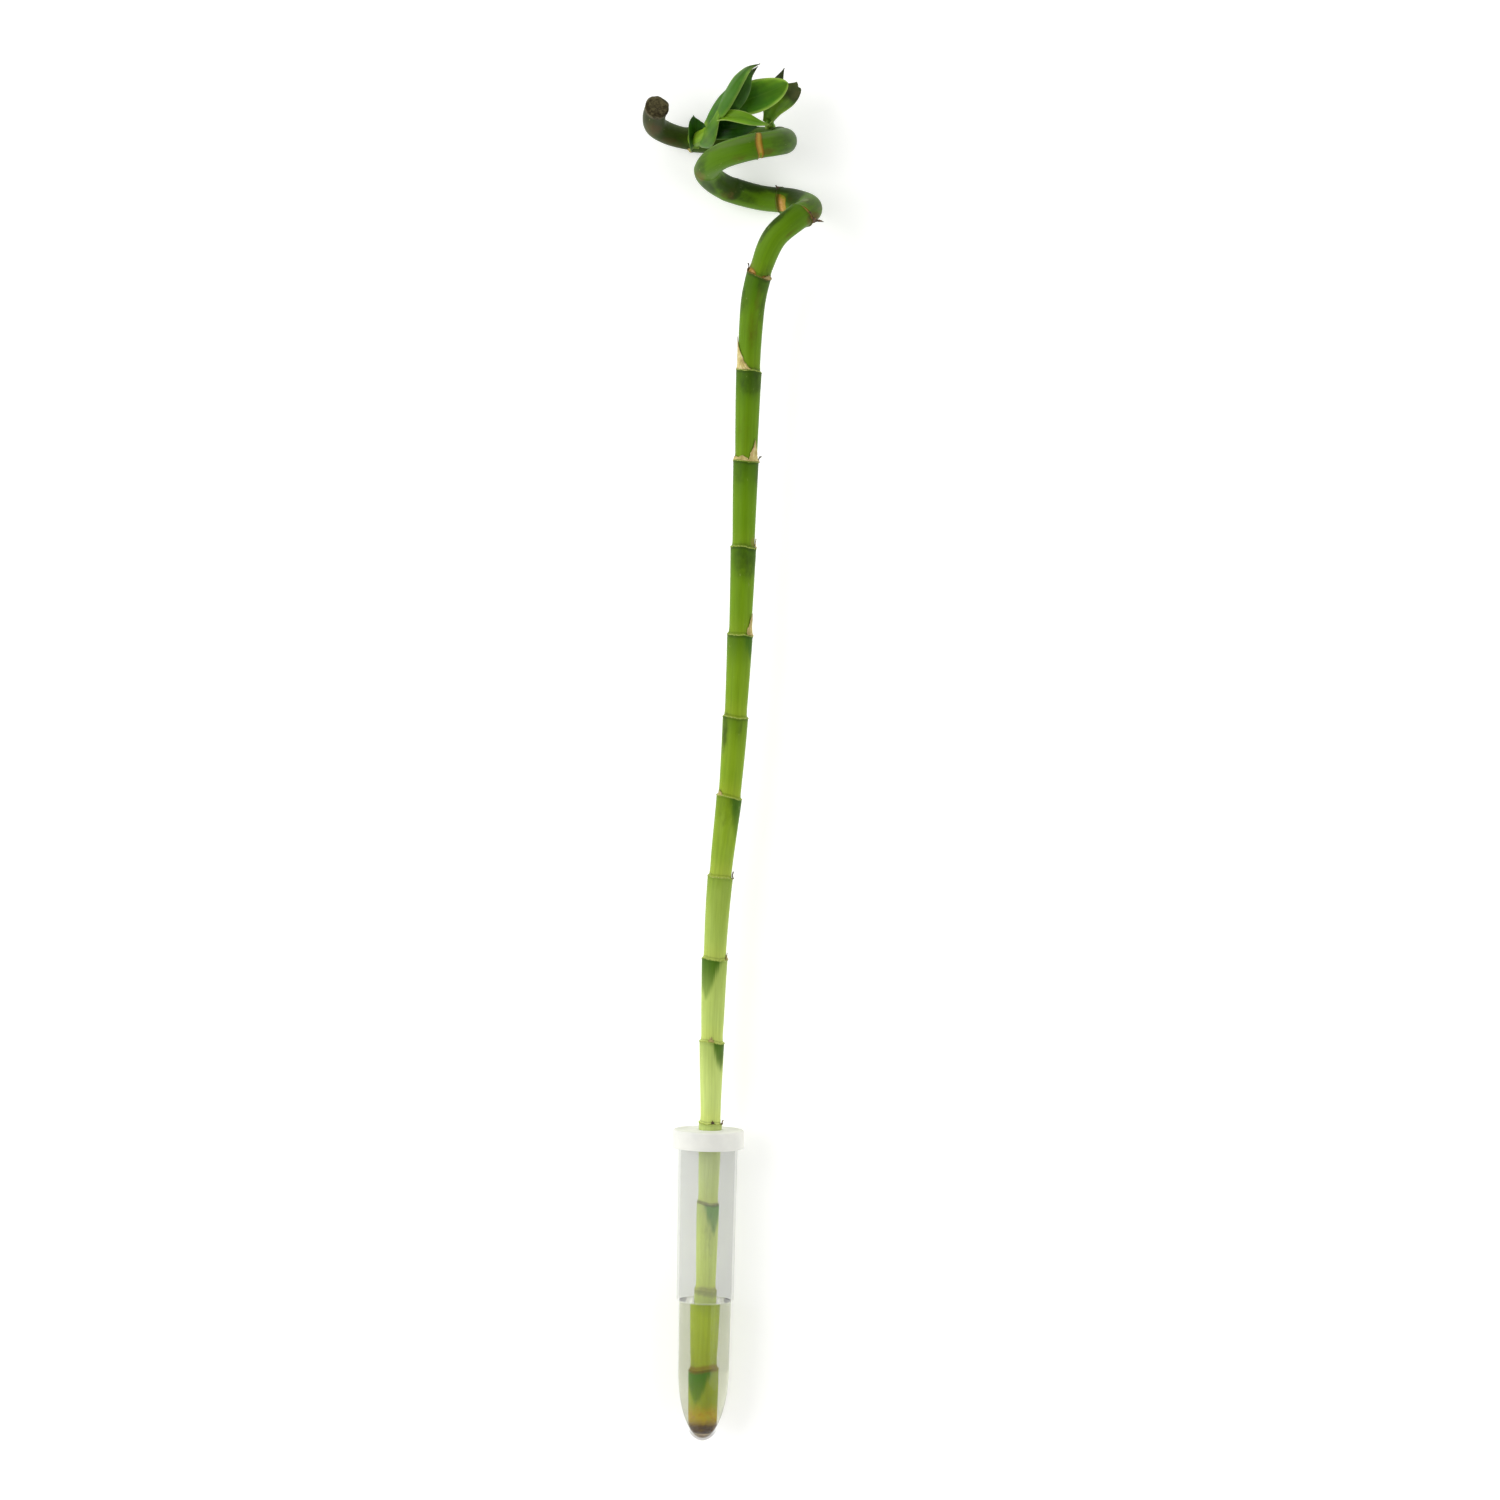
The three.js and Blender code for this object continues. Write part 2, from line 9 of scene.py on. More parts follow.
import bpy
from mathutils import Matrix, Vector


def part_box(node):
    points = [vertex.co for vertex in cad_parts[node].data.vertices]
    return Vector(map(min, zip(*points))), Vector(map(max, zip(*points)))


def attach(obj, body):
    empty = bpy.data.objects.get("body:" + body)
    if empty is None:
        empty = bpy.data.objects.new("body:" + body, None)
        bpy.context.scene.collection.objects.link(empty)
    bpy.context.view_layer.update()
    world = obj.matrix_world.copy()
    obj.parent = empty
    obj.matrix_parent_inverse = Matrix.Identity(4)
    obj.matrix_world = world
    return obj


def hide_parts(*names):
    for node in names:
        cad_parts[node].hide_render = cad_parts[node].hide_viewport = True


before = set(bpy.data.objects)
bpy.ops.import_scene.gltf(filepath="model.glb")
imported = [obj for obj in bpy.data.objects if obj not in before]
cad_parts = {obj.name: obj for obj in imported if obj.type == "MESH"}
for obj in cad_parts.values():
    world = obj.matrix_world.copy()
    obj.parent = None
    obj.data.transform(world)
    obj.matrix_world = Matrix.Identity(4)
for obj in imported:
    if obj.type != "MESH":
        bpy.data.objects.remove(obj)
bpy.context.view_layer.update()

import bpy
import numpy as np

# %% [markdown]
# ## One place to measure from
#
# A cane is easiest to describe by how far along it something sits. All sizes below are in
# millimetres, measured from the tip of the flower tube, on the tube's own axis. Blender works in
# metres and in the frame of the solid model, so one function turns the first into the second.
# The tube's box tells where its tip is, and no number has to be copied for it.

# %% From millimetres at the tube's tip to metres in the frame
MM = 0.001
TABLE_GAP = 0.00002
tube_low, tube_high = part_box("flower_tube")
TIP = np.array([(tube_low.x + tube_high.x) / 2, tube_low.y, 0.0])
TUBE_AXIS_HEIGHT = 1000 * (tube_low.z + tube_high.z) / 2


def in_frame(points):
    """Points in mm from the tube's tip, as points in metres in the frame."""
    return np.asarray(points, float) * MM + TIP


print("tube tip at", TIP.round(4), "axis height", round(TUBE_AXIS_HEIGHT, 2), "mm")

# %% Small sums that come back everywhere
def mix(first, second, share):
    """first at share 0, second at share 1."""
    return first + (second - first) * share


def ease(value, low, high):
    """0 below low, 1 above high, with a soft slope between them."""
    share = np.clip((np.asarray(value, float) - low) / (high - low), 0, 1)
    return share * share * (3 - 2 * share)


def bump(distance, middle, wide):
    """1 at a middle distance, and softly falling to 0 on both sides."""
    return np.exp(-(((distance - middle) / wide) ** 2))


def unit(vectors):
    """The same directions with length one."""
    return vectors / np.maximum(np.linalg.norm(vectors, axis=-1, keepdims=True), 1e-12)


def waves(angles, counts, phases, sizes):
    """A sum of waves round a ring: how many, where each starts and how high it is."""
    return sum(size * np.sin(count * angles + phase) for count, phase, size in zip(counts, phases, sizes))


# %% [markdown]
# ## A line to grow along
#
# The cane, the stems of the shoots and every blade follow a smooth line through a few points. A
# Blender curve with a bevel could do it, but then the rings, torn sheaths and cut ends would have
# to be placed by eye. Here the line is computed: points at an even pace, each with a direction
# and two sides that are carried along without twisting, so that a distance and an angle name
# one spot on the bark.

# %% A smooth line with a frame that doesn't twist
def through(points, fine=60):
    """Many points on a smooth line through a few (centripetal Catmull-Rom)."""
    given = np.asarray(points, float)
    given = np.vstack([2 * given[0] - given[1], given, 2 * given[-1] - given[-2]])
    gaps = np.sqrt(np.linalg.norm(np.diff(given, axis=0), axis=1))
    made = []
    for i in range(1, len(given) - 2):
        gap_in, gap, gap_out = gaps[i - 1 : i + 2]
        before, start, end, after = given[i - 1 : i + 3]
        way = (end - start) / gap
        leave = gap * ((start - before) / gap_in - (end - before) / (gap_in + gap) + way)
        arrive = gap * (way - (after - start) / (gap + gap_out) + (after - end) / gap_out)
        t = np.linspace(0, 1, fine, endpoint=False)[:, None]
        bend = (3 * (end - start) - 2 * leave - arrive) * t**2
        made.append(start + leave * t + bend + (2 * (start - end) + leave + arrive) * t**3)
    return np.vstack(made + [given[-2:-1]])


class Line:
    """A smooth line, read by the distance along it."""

    def __init__(self, points, steps=1300):
        fine = through(points)
        run = np.concatenate([[0], np.cumsum(np.linalg.norm(np.diff(fine, axis=0), axis=1))])
        self.length = run[-1]
        self.runs = np.linspace(0, self.length, steps + 1)
        self.spots = np.stack([np.interp(self.runs, run, fine[:, k]) for k in range(3)], -1)
        self.ways = unit(np.gradient(self.spots, axis=0))
        high = np.array([0.0, 0.0, 1.0])
        highs = []
        for way in self.ways:
            high = unit(high - high.dot(way) * way)
            highs.append(high)
        self.highs = np.array(highs)
        self.rights = np.cross(self.ways, self.highs)

    def at(self, runs):
        """Spot, direction, upper side and right side at these distances."""
        tables = (self.spots, self.ways, self.highs, self.rights)
        return [np.stack([np.interp(runs, self.runs, t[:, k]) for k in range(3)], -1) for t in tables]

    def on_skin(self, runs, angles, radii):
        """Points at a radius from the line, at an angle counted from its upper side."""
        spots, _, highs, rights = self.at(runs)
        across = highs * np.cos(angles)[..., None] + rights * np.sin(angles)[..., None]
        return spots + across * np.asarray(radii)[..., None]


# %% [markdown]
# ## Nets of points
#
# All pieces are nets: rows of points, joined by four-sided faces. A round net closes on itself
# like a hose, and a flat one has two faces with a rim. Along with each point go marks, numbers
# such as how far a point is from a ring, and the finishes read them later. That ties the
# colours to the shape, and the pattern stays in place when the piece is seen from behind.

# %% Gather nets and make a piece of them
def round_faces(rows, count):
    """Faces of a net whose rows are closed loops, facing out."""
    row, item = np.meshgrid(np.arange(rows - 1), np.arange(count), indexing="ij")
    low, low_next = row * count + item, row * count + (item + 1) % count
    return np.stack([low, low_next, low_next + count, low + count], -1).reshape(-1, 4)


def placed(name, data):
    """A new object in the scene, from a mesh, a lamp or a camera."""
    made = bpy.data.objects.new(name, data)
    bpy.context.scene.collection.objects.link(made)
    return made


class Net:
    """Points, faces and marks of one piece."""

    def __init__(self):
        self.points, self.faces, self.marks, self.count = [], [], {}, 0

    def add(self, points, faces, **marks):
        points = np.asarray(points, float).reshape(-1, 3)
        self.faces += [[int(i) + self.count for i in face] for face in faces]
        self.points.append(points)
        for name, values in marks.items():
            size = 3 if np.ndim(values) == 2 and np.shape(values)[1] == 3 else 1
            values = np.broadcast_to(values, (len(points), 3) if size == 3 else len(points))
            self.marks.setdefault(name, []).append(np.array(values, np.float32))
        self.count += len(points)

    def round(self, loops, **marks):
        """A hose of closed loops, shut at its ends by one face each."""
        rows, count = loops.shape[:2]
        faces = round_faces(rows, count).tolist()
        faces += [list(range(count))[::-1], [(rows - 1) * count + i for i in range(count)]]
        self.add(loops, faces, **marks)

    def sheet(self, upper, lower, **marks):
        """A thin sheet: its upper and lower points, both rows by columns."""
        loops = np.concatenate([upper, lower[:, ::-1]], 1)
        rows, count = loops.shape[:2]
        half = count // 2
        faces = round_faces(rows, count).tolist()
        last = (rows - 1) * count
        for j in range(half - 1):
            other = count - 1 - j
            faces.append([j, other, other - 1, j + 1])
            faces.append([last + j, last + j + 1, last + other - 1, last + other])
        joined = {}
        for name, values in marks.items():
            values = np.asarray(values, float)
            joined[name] = np.concatenate([values, values[:, ::-1]], 1).ravel()
        joined["under"] = np.repeat([[0.0] * half + [1.0] * half], rows, 0).ravel()
        self.add(loops, faces, **joined)

    def piece(self, name, slot, finish, stands_for=()):
        """Makes the Blender object, which rides on the plant and stands for solids."""
        mesh = bpy.data.meshes.new(name)
        points = in_frame(np.vstack(self.points))
        points[:, 2] = np.maximum(points[:, 2], TABLE_GAP)  # what lies on the table is pressed flat
        mesh.from_pydata(points.tolist(), [], self.faces)
        mesh.validate()
        mesh.shade_smooth()
        for mark, parts in self.marks.items():
            kind, key = ("FLOAT_VECTOR", "vector") if parts[0].ndim == 2 else ("FLOAT", "value")
            mesh.attributes.new(mark, kind, "POINT").data.foreach_set(key, np.concatenate(parts).ravel())
        mesh.materials.append(finish)
        made = placed(name, mesh)
        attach(made, "root")
        if stands_for:
            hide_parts(*stands_for)
        print(name, "has", len(self.faces), "faces")


# %% [markdown]
# ## Writing finishes as sums
#
# A finish is a graph of nodes. Laid out by hand it soon looks like a bowl of noodles, so here a
# small class wraps one output of a node. Adding or multiplying two of them adds a Math node, a
# colour is mixed with a mask, and one method makes any other node.

# %% A wire between nodes
def paint(text):
    """A colour written as #rrggbb, as the numbers that Blender's shaders expect."""
    parts = np.array([int(text[i : i + 2], 16) / 255 for i in (1, 3, 5)])
    linear = np.where(parts < 0.04045, parts / 12.92, ((parts + 0.055) / 1.055) ** 2.4)
    return (*(float(value) for value in linear), 1.0)


class Wire:
    """One output of a node. Python's signs on it add Math nodes."""

    def __init__(self, tree, socket=None):
        self.tree, self.socket = tree, socket

    def node(self, kind, settings=None, sockets=None, out=0):
        """Any node: its settings are made first, then its sockets get values or wires."""
        node = self.tree.nodes.new("ShaderNode" + kind)
        for name, value in (settings or {}).items():
            if name == "stops":
                for i, (place, shade) in enumerate(value):
                    stops = node.color_ramp.elements
                    stop = stops[i] if i < 2 else stops.new(place)
                    stop.position, stop.color = place, paint(shade)
            else:
                setattr(node, name, value)
        for name, value in (sockets or {}).items():
            if isinstance(value, Wire):
                self.tree.links.new(value.socket, node.inputs[name])
            else:
                node.inputs[name].default_value = value
        return Wire(self.tree, node.outputs[out] if node.outputs else None)

    def sum(self, operation, first, second):
        return self.node("Math", {"operation": operation}, {0: first, 1: second})

    def __add__(self, other):
        return self.sum("ADD", self, other)

    def __sub__(self, other):
        return self.sum("SUBTRACT", self, other)

    def __rsub__(self, other):
        return self.sum("SUBTRACT", other, self)

    def __mul__(self, other):
        return self.sum("MULTIPLY", self, other)

    __radd__, __rmul__ = __add__, __mul__

    def size(self):
        """The value without its sign."""
        return self.sum("ABSOLUTE", self, 0)

    def eased(self, low, high):
        """0 below low and 1 above high."""
        sockets = {"Value": self, "From Min": low, "From Max": high}
        return self.node("MapRange", {"interpolation_type": "SMOOTHSTEP"}, sockets)

    def stops(self, *stops):
        """A colour for each value: stops are (value, colour)."""
        return self.node("ValToRGB", {"stops": stops}, {"Fac": self})

    def under(self, mask, colour):
        """This colour, with another one over it where the mask is 1."""
        colour = paint(colour) if isinstance(colour, str) else colour
        return self.node("Mix", {"data_type": "RGBA"}, {0: mask, 6: self, 7: colour}, out=2)

    def lit(self, amount):
        """This colour, brighter or darker by a factor."""
        grey = self.node("CombineColor", None, dict.fromkeys(("Red", "Green", "Blue"), amount))
        settings = {"data_type": "RGBA", "blend_type": "MULTIPLY"}
        return self.node("Mix", settings, {0: 1.0, 6: self, 7: grey}, out=2)

    def stretched(self, x, y, z):
        """These coordinates, stretched along each axis."""
        return self.node("VectorMath", {"operation": "MULTIPLY"}, {0: self, 1: (x, y, z)})

    def noise(self, scale, detail=3.0, roughness=0.5):
        """Soft blotches at these coordinates, from 0 to 1."""
        sockets = {"Vector": self, "Scale": scale, "Detail": detail, "Roughness": roughness}
        return self.node("TexNoise", None, sockets)

    def mark(self, name, vector=False):
        """A mark that the piece's points carry."""
        return self.node("Attribute", {"attribute_name": name}, out=1 if vector else 2)

    def place(self):
        """Coordinates in the object's own space, in metres."""
        return self.node("TexCoord", out=3)


def new_finish(name):
    """An empty material, and a wire to start its graph from."""
    material = bpy.data.materials.new(name)
    material.use_nodes = True
    material.node_tree.nodes.clear()
    return material, Wire(material.node_tree)


def lay_on(wire, colour, roughness, height=None, depth=0.1, **constants):
    """Ends a graph: colour, roughness and a relief of this depth in mm on one surface."""
    sockets = {"Base Color": colour, "Roughness": roughness, **constants}
    if height is not None:
        relief = {"Height": height, "Distance": depth * MM, "Strength": 1.0}
        sockets["Normal"] = wire.node("Bump", None, relief)
    wire.node("OutputMaterial", None, {"Surface": wire.node("BsdfPrincipled", None, sockets)})


# %% [markdown]
# ## The cane's line and its rings
#
# The cane is one stem, from its cut end in the tube to the cut end above the coil. A ring goes
# round it wherever a leaf once stood. The line and the rings repeat the solid model's own
# numbers, because the finer cane has to lie in the same place.

# %% Where the cane runs
CANE_LINE = [
    (0, 5.5, 12.7), (0, 40, 12.7), (0.3, 80, 12.7), (0.6, 113, 12.9), (0.6, 145, 13.5),
    (1.2, 183, 14.5), (2.5, 207, 15), (5.5, 240, 16), (7.3, 277, 17), (8.2, 312, 17.8),
    (8.6, 351, 19), (9.0, 385, 20), (9.5, 405, 21), (10.4, 416, 22.6), (13.0, 426.5, 26.3),
    (17.5, 436.5, 30.6), (24.9, 443.3, 30.6), (29.9, 447.8, 23.4), (24.3, 452.6, 10.2),
    (11.2, 454.9, 4.5), (-1.8, 457.8, 10), (-7.5, 461.2, 22.5), (-2.6, 464.2, 34),
    (7.2, 466.7, 39), (16.2, 469.4, 34), (20.2, 472.3, 23.4), (16.0, 474.9, 10.5),
    (4.5, 476.3, 4.5), (-9.5, 475.4, 4.5), (-19.5, 476.4, 6.4), (-26.2, 478.4, 12.2),
    (-27.2, 480.6, 19.6), (-25.8, 483.4, 26.6),
]
# Each ring: its distance along the cane, how far it leans, and the side that leans upwards
RINGS = [
    (21, 0.5, 90), (49.7, 0.4, 250), (81.2, 0.5, 260), (110.3, 0.3, 270), (140, 0.4, 280),
    (170.3, 0.3, 260), (200.2, 0.3, 290), (229.6, 0.5, 270), (258.7, 0.3, 250), (288.5, 0.3, 270),
    (320.3, 0.4, 300), (351.4, 0.3, 290), (384.2, 0.4, 280), (419.6, 0.5, 270), (447.6, 1.4, 120),
    (476, 0.6, 20), (496.5, 1.5, 150), (514.5, 1.2, 150), (541.9, 1.4, 300), (569.5, 1.2, 60),
    (587, 1.0, 200), (607.5, 0.8, 20),
]
COIL_START = 425
COIL_RINGS_FROM = 14
cane_line = Line(CANE_LINE)
ring_runs = np.array([ring[0] for ring in RINGS], float)
print("the cane is", round(cane_line.length, 1), "mm long and has", len(RINGS), "rings")

# %% How thick each joint is
JOINT_FOOT, JOINT_TOP = 3.9, 4.65
COIL_RADIUS, END_RADIUS = 4.7, 3.95
COIL_SWELL, END_SWELL = 0.2, 0.3
TUBE_SHARE, TUBE_MOUTH, FULL_AGAIN = 0.9, 112, 150  # the cane is slimmer where it stood in the tube
STEP_EARLY, STEP_LENGTH = 0.1, 0.8
joint_ends = np.concatenate([[-10.0], ring_runs, [cane_line.length + 10]])


def joint_radius(runs, joint):
    """Radius of one joint at these distances: it swells from its foot to its top."""
    start, end = joint_ends[joint], joint_ends[joint + 1]
    share = np.clip((runs - start) / (end - start), 0, 1)
    straight = mix(JOINT_FOOT, JOINT_TOP, share**0.8)
    slim = straight * mix(1, TUBE_SHARE, 1 - ease(runs, TUBE_MOUTH, FULL_AGAIN))
    in_coil = ease(runs, COIL_START - 10, COIL_START + 25)
    coiled = mix(slim, COIL_RADIUS - COIL_SWELL * (1 - share), in_coil)
    return mix(coiled, END_RADIUS + END_SWELL * share, 1.0 if joint == len(RINGS) else 0.0)


def nearest_ring(runs):
    """Number of the ring that is closest, and how far past it each distance is."""
    ring = np.argmin(np.abs(np.asarray(runs)[..., None] - ring_runs), axis=-1)
    return ring, runs - ring_runs[ring]


def skin_radius(runs, past=None):
    """Radius of the bare cane, with the small step that each ring makes."""
    ring, gap = nearest_ring(runs)
    gap = gap if past is None else past
    spots = list(zip(np.ravel(runs), np.ravel(ring)))
    below = np.reshape([joint_radius(run, j) for run, j in spots], np.shape(runs))
    above = np.reshape([joint_radius(run, j + 1) for run, j in spots], np.shape(runs))
    return mix(below, above, 1 - np.exp(-np.maximum(gap + STEP_EARLY, 0) / STEP_LENGTH))


# %% [markdown]
# ## The cane's skin
#
# Seen close by, a ring is a torn collar: the foot of an old leaf sheath went all round, and was
# pulled off by hand. Its edge is ragged, thin and pale on the straight part, and thick and
# red-brown on the older wood of the coil. The rows of the net stand closer together at the
# rings, a tenth of a millimetre apart, because that is where the shape is. On the smooth skin
# between them a row for every one or two millimetres is enough.

# %% Rows of the cane's net
CANE_SIDES = 88
rng = np.random.default_rng(7)
RING_ROWS = [
    -3.4, -2.5, -1.8, -1.2, -0.8, -0.55, -0.4, -0.28, -0.17, -0.07, 0.03, 0.12, 0.22, 0.33, 0.45,
    0.6, 0.8, 1.1, 1.6, 2.4, 3.4,
]
COIL_ROWS = RING_ROWS + [-5, -4.6, -4.2, -3.8, -3.0, -2.2, -1.5, -1.0, 0.95, 1.35, 1.9, 2.9, 4.0]
FIRST_ROW, LAST_ROW = 0.3, cane_line.length - 1.8
CLOSE_ROWS_FROM, CLOSE_STEP, WIDE_STEP = 400, 1.3, 2.2
stops = [FIRST_ROW, LAST_ROW]
for i, ring_run in enumerate(ring_runs):
    stops += [ring_run + row for row in (COIL_ROWS if i >= COIL_RINGS_FROM - 1 else RING_ROWS)]
stops = [stop for stop in sorted(stops) if FIRST_ROW <= stop <= LAST_ROW]
row_runs = stops[:1]
for stop in stops[1:]:
    step = CLOSE_STEP if stop > CLOSE_ROWS_FROM else WIDE_STEP
    parts = int(np.ceil((stop - row_runs[-1]) / step))
    row_runs += list(np.linspace(row_runs[-1], stop, parts + 1)[1:])
row_runs = np.array(row_runs)
around = np.arange(CANE_SIDES) / CANE_SIDES * 2 * np.pi
print("the cane's net has", len(row_runs), "rows of", CANE_SIDES, "points")

# %% Where each ring leans and how its edge is torn
# ring: how much of the collar's colour is left, on the coil
RIM_LEFT = {14: 0.8, 15: 0.45, 16: 0.0, 17: 0.06, 18: 0.1, 19: 0.6, 20: 0.5, 21: 0.2}
ring_of_row, past_of_row = nearest_ring(row_runs)
ring_phase = rng.uniform(0, 2 * np.pi, (len(RINGS), 8))
RING_WAVE = 0.16
STILL, FREE = 4.5, 8.2  # so far from a ring the net is bent as much as the ring, or not at all
WORN = {14: (330, 58)}  # ring: the middle of where its collar has worn off, and half its width


def ring_shift(ring, angles):
    """How far a ring has moved along the cane at each angle, as on the solid."""
    tilt, side = RINGS[ring][1], np.radians(RINGS[ring][2])
    return tilt * np.cos(angles - side) + RING_WAVE * np.sin(3 * angles + ring * 2.1)


def ring_tear(ring, angles):
    """The small teeth of a ring's torn edge, from about -1 to 1."""
    return waves(angles, (7, 12, 19, 29), ring_phase[ring][:4], (0.45, 0.3, 0.25, 0.2))


def place_on_cane(run, past, ring, angles):
    """Distances along the cane, once the ring nearby has bent the net."""
    hold = 1 - ease(np.abs(past), STILL, FREE)
    return np.clip(run + hold * ring_shift(ring, angles), 0, cane_line.length)


# %% [markdown]
# ## Patches on the skin
#
# Three things make the skin look alive. Under the lower rings a dark green tongue points to the
# foot, now left, now right, where the leaf's veins ran into the stem. At the rings of the coil
# the skin lay bare under the sheath, and shows yellow and tan between two red-brown lines, in
# the shape of a lens. And some places are darker or browner: darker green is partly the bark's
# own colour and partly painted shade where one band of the coil lies in the shadow of the next,
# and brown is where the cane was knocked. All are drawn as distances: how many millimetres a
# point lies inside the patch. A distance stays sharp when the finish cuts it off, and some noise
# makes its edge natural.

# %% Distances inside the patches
FAR, DEEP = -3.0, 3
PATCH_REACH = 18  # mm from its ring that a patch can reach
SKIN_RADIUS = 4.5  # mm; an angle times it is a distance on the skin
grid_shape = (len(row_runs), CANE_SIDES)


def angle_gap(angles, middle):
    """How far each angle is from a middle one in degrees, from -pi to pi."""
    return (angles - np.radians(middle) + np.pi) % (2 * np.pi) - np.pi


def patch_mark(patches, inside):
    """The largest distance inside any of the patches, at each point of the skin."""
    mark = np.full(grid_shape, FAR)
    for ring, *numbers in patches:
        rows = np.abs(row_runs - ring_runs[ring]) < PATCH_REACH
        up = row_runs[rows, None] - ring_runs[ring]
        mark[rows] = np.maximum(mark[rows], np.clip(inside(up, *numbers), FAR, DEEP))
    return mark


def inside_tongue(up, middle, half, long):
    """A pointed tongue from a ring towards the foot."""
    width = np.radians(half) * np.clip(1 + up / long, 0, 1) ** 0.7
    from_side = SKIN_RADIUS * (width - np.abs(angle_gap(around, middle)))
    return np.minimum(from_side, np.minimum(long + up, 12 * (0.1 - up)))


def inside_lens(up, middle, half, low, high, warm=0, soft=1):
    """A lens between two lines that run side by side and meet at both ends."""
    rest = 1 - (angle_gap(around, middle) / np.radians(half)) ** 6
    return np.minimum(up - low * rest, soft * (high * rest - up))


print("one patch is a ring, a middle angle, a half width and its lengths")

# %% Tongues and lenses
# ring, middle angle, half width in degrees, length in mm
TONGUES = [
    (0, -34, 84, 13), (1, 160, 60, 9), (2, 36, 66, 12), (3, 205, 50, 12), (4, 54, 60, 11),
    (5, -40, 80, 15), (6, 150, 50, 12), (7, 62, 62, 16), (9, 190, 60, 14),
    (9, 60, 50, 9), (10, 190, 70, 13), (11, 120, 60, 16), (12, 170, 60, 12),
]
# ring, middle angle, half width in degrees, from and to in mm past the ring, how tan it is, and
# how soft its upper line is (1 is sharp)
LENSES = [
    (13, 285, 62, -0.4, 1.5, 0.7), (13, 55, 42, -0.3, 1.1, 0.8), (14, 40, 80, -0.3, 0.7, 0.3),
    (15, 206, 47, -6.0, 0.3, 0.85, 0.3), (18, 121, 125, -0.2, 1.9, 0.5), (19, 200, 80, -0.2, 2.4, 0.5),
    (20, 100, 70, -0.4, 2.6, 0.2),
]
tongue_mark = patch_mark(TONGUES, inside_tongue)
lens_mark = patch_mark(LENSES, inside_lens)
tan_mark = np.zeros(grid_shape)
for ring, middle, half, low, high, warm, *_ in LENSES:
    gap = angle_gap(around, middle)
    near = bump(row_runs[:, None], ring_runs[ring], 6) * (np.abs(gap) < 1.8)
    tan_mark = np.maximum(tan_mark, near * (warm - 0.55 * ease(gap, 0.2, 0.75)))
print("points in tongues:", int((tongue_mark > 0).sum()), "and in lenses:", int((lens_mark > 0).sum()))

# %% Darker, browner and waxier places, with painted shade
# distance along the cane and angle of the middle, reach along it in mm, reach in degrees, strength
# darker green: partly the bark's own colour, partly painted shade where one band shades the next
DARK_AND_PAINTED_SHADE = [
    (464.5, 256, 8, 66, 1.0), (452, 0, 6, 70, 0.6), (519, 102, 6, 44, 0.6), (474, 290, 15, 46, 1.0),
    (490, 284, 14, 54, 1.0), (500, 250, 7.5, 85, 1.0), (555, 110, 11, 110, 0.6), (524, 60, 8, 30, 0.4),
    (566, 180, 14, 180, 0.5), (600, 100, 12, 180, 0.5), (438, 294, 10, 30, 0.8), (409, 290, 7, 60, 0.5),
    (380, 20, 7, 90, 0.6), (407, 60, 10, 40, 0.5), (451, 326, 1.8, 22, 0.6), (449.5, 0, 4, 50, 0.45),
    (419, 40, 8, 60, 0.5), (616, 250, 12, 60, 0.6), (315, 20, 9, 90, 0.55), (253, -54, 10, 30, 0.6),
    (255, 22, 6, 20, 0.4), (224, 10, 9, 90, 0.3), (496, 262, 6, 54, 1.0), (509, 160, 8, 44, 0.7),
    (135, 66, 7, 40, 0.4), (347, -20, 6, 60, 0.35), (347, 80, 8, 40, 0.5), (496, 214, 4.6, 50, 1.0),
    (506, 224, 8, 46, 0.85), (490, 206, 7, 34, 0.55), (521, 80, 6, 40, 0.5), (575, 60, 10, 60, 0.4),
    (70, 20, 12, 60, 0.3),
]
BROWNED = [
    (497, 214, 3.0, 40, 0.35), (515, 118, 4, 40, 0.5), (498, 186, 5, 30, 0.5), (545, 142, 3, 26, 0.7),
    (399, 10, 9, 40, 0.45), (362, -10, 8, 50, 0.25), (537, 146, 1.9, 14, 0.6),
    (540.6, 150, 1.2, 10, 0.45), (536, 140, 5, 24, 0.4), (448.4, 50, 4.4, 46, 1.0),
    (455, 60, 4, 40, 0.35), (388, 282, 2.2, 16, 1.0), (466, 236, 3, 24, 0.4), (410, 20, 8, 20, 0.4),
    (386, 300, 3, 30, 0.5), (439.4, 36, 3.2, 13, 0.5), (21.2, 0, 1.7, 400, 0.8),
    (49.3, 40, 2.4, 240, 0.7), (81.2, 20, 0.9, 240, 0.8), (616, 250, 7, 40, 0.5),
    (628, 230, 6, 60, 0.6),
]
WAXED = [
    (453, 350, 7, 60, 0.5), (513, 95, 8, 44, 0.6), (538, 66, 16, 22, 0.7), (558, 60, 8, 60, 0.5),
    (618, 220, 12, 40, 0.5), (487, 168, 16, 26, 0.35), (427, 300, 14, 24, 0.4),
    (494.6, 262, 1.4, 20, 0.4), (452, 296, 2.2, 24, 0.7),
]
DRIED = [
    (515.6, 132, 4, 40, 0.5), (322.4, 62, 2.4, 30, 0.8), (421, 300, 2.5, 40, 0.5),
    (452.5, 20, 3, 22, 0.35), (497, 200, 2.0, 24, 0.5), (354, 290, 2.6, 24, 0.4),
]


def cloud_mark(places):
    """How far each point of the skin is inside some soft round places, from 0 to 1."""
    mark = np.zeros(grid_shape)
    for run, angle, long, wide, strength in places:
        off_side = angle_gap(around, angle) / np.radians(wide)
        reach = ((row_runs[:, None] - run) / long) ** 2 + off_side**2
        mark = np.maximum(mark, strength * (1 - ease(np.sqrt(reach), 0.35, 1.25)))
    return mark


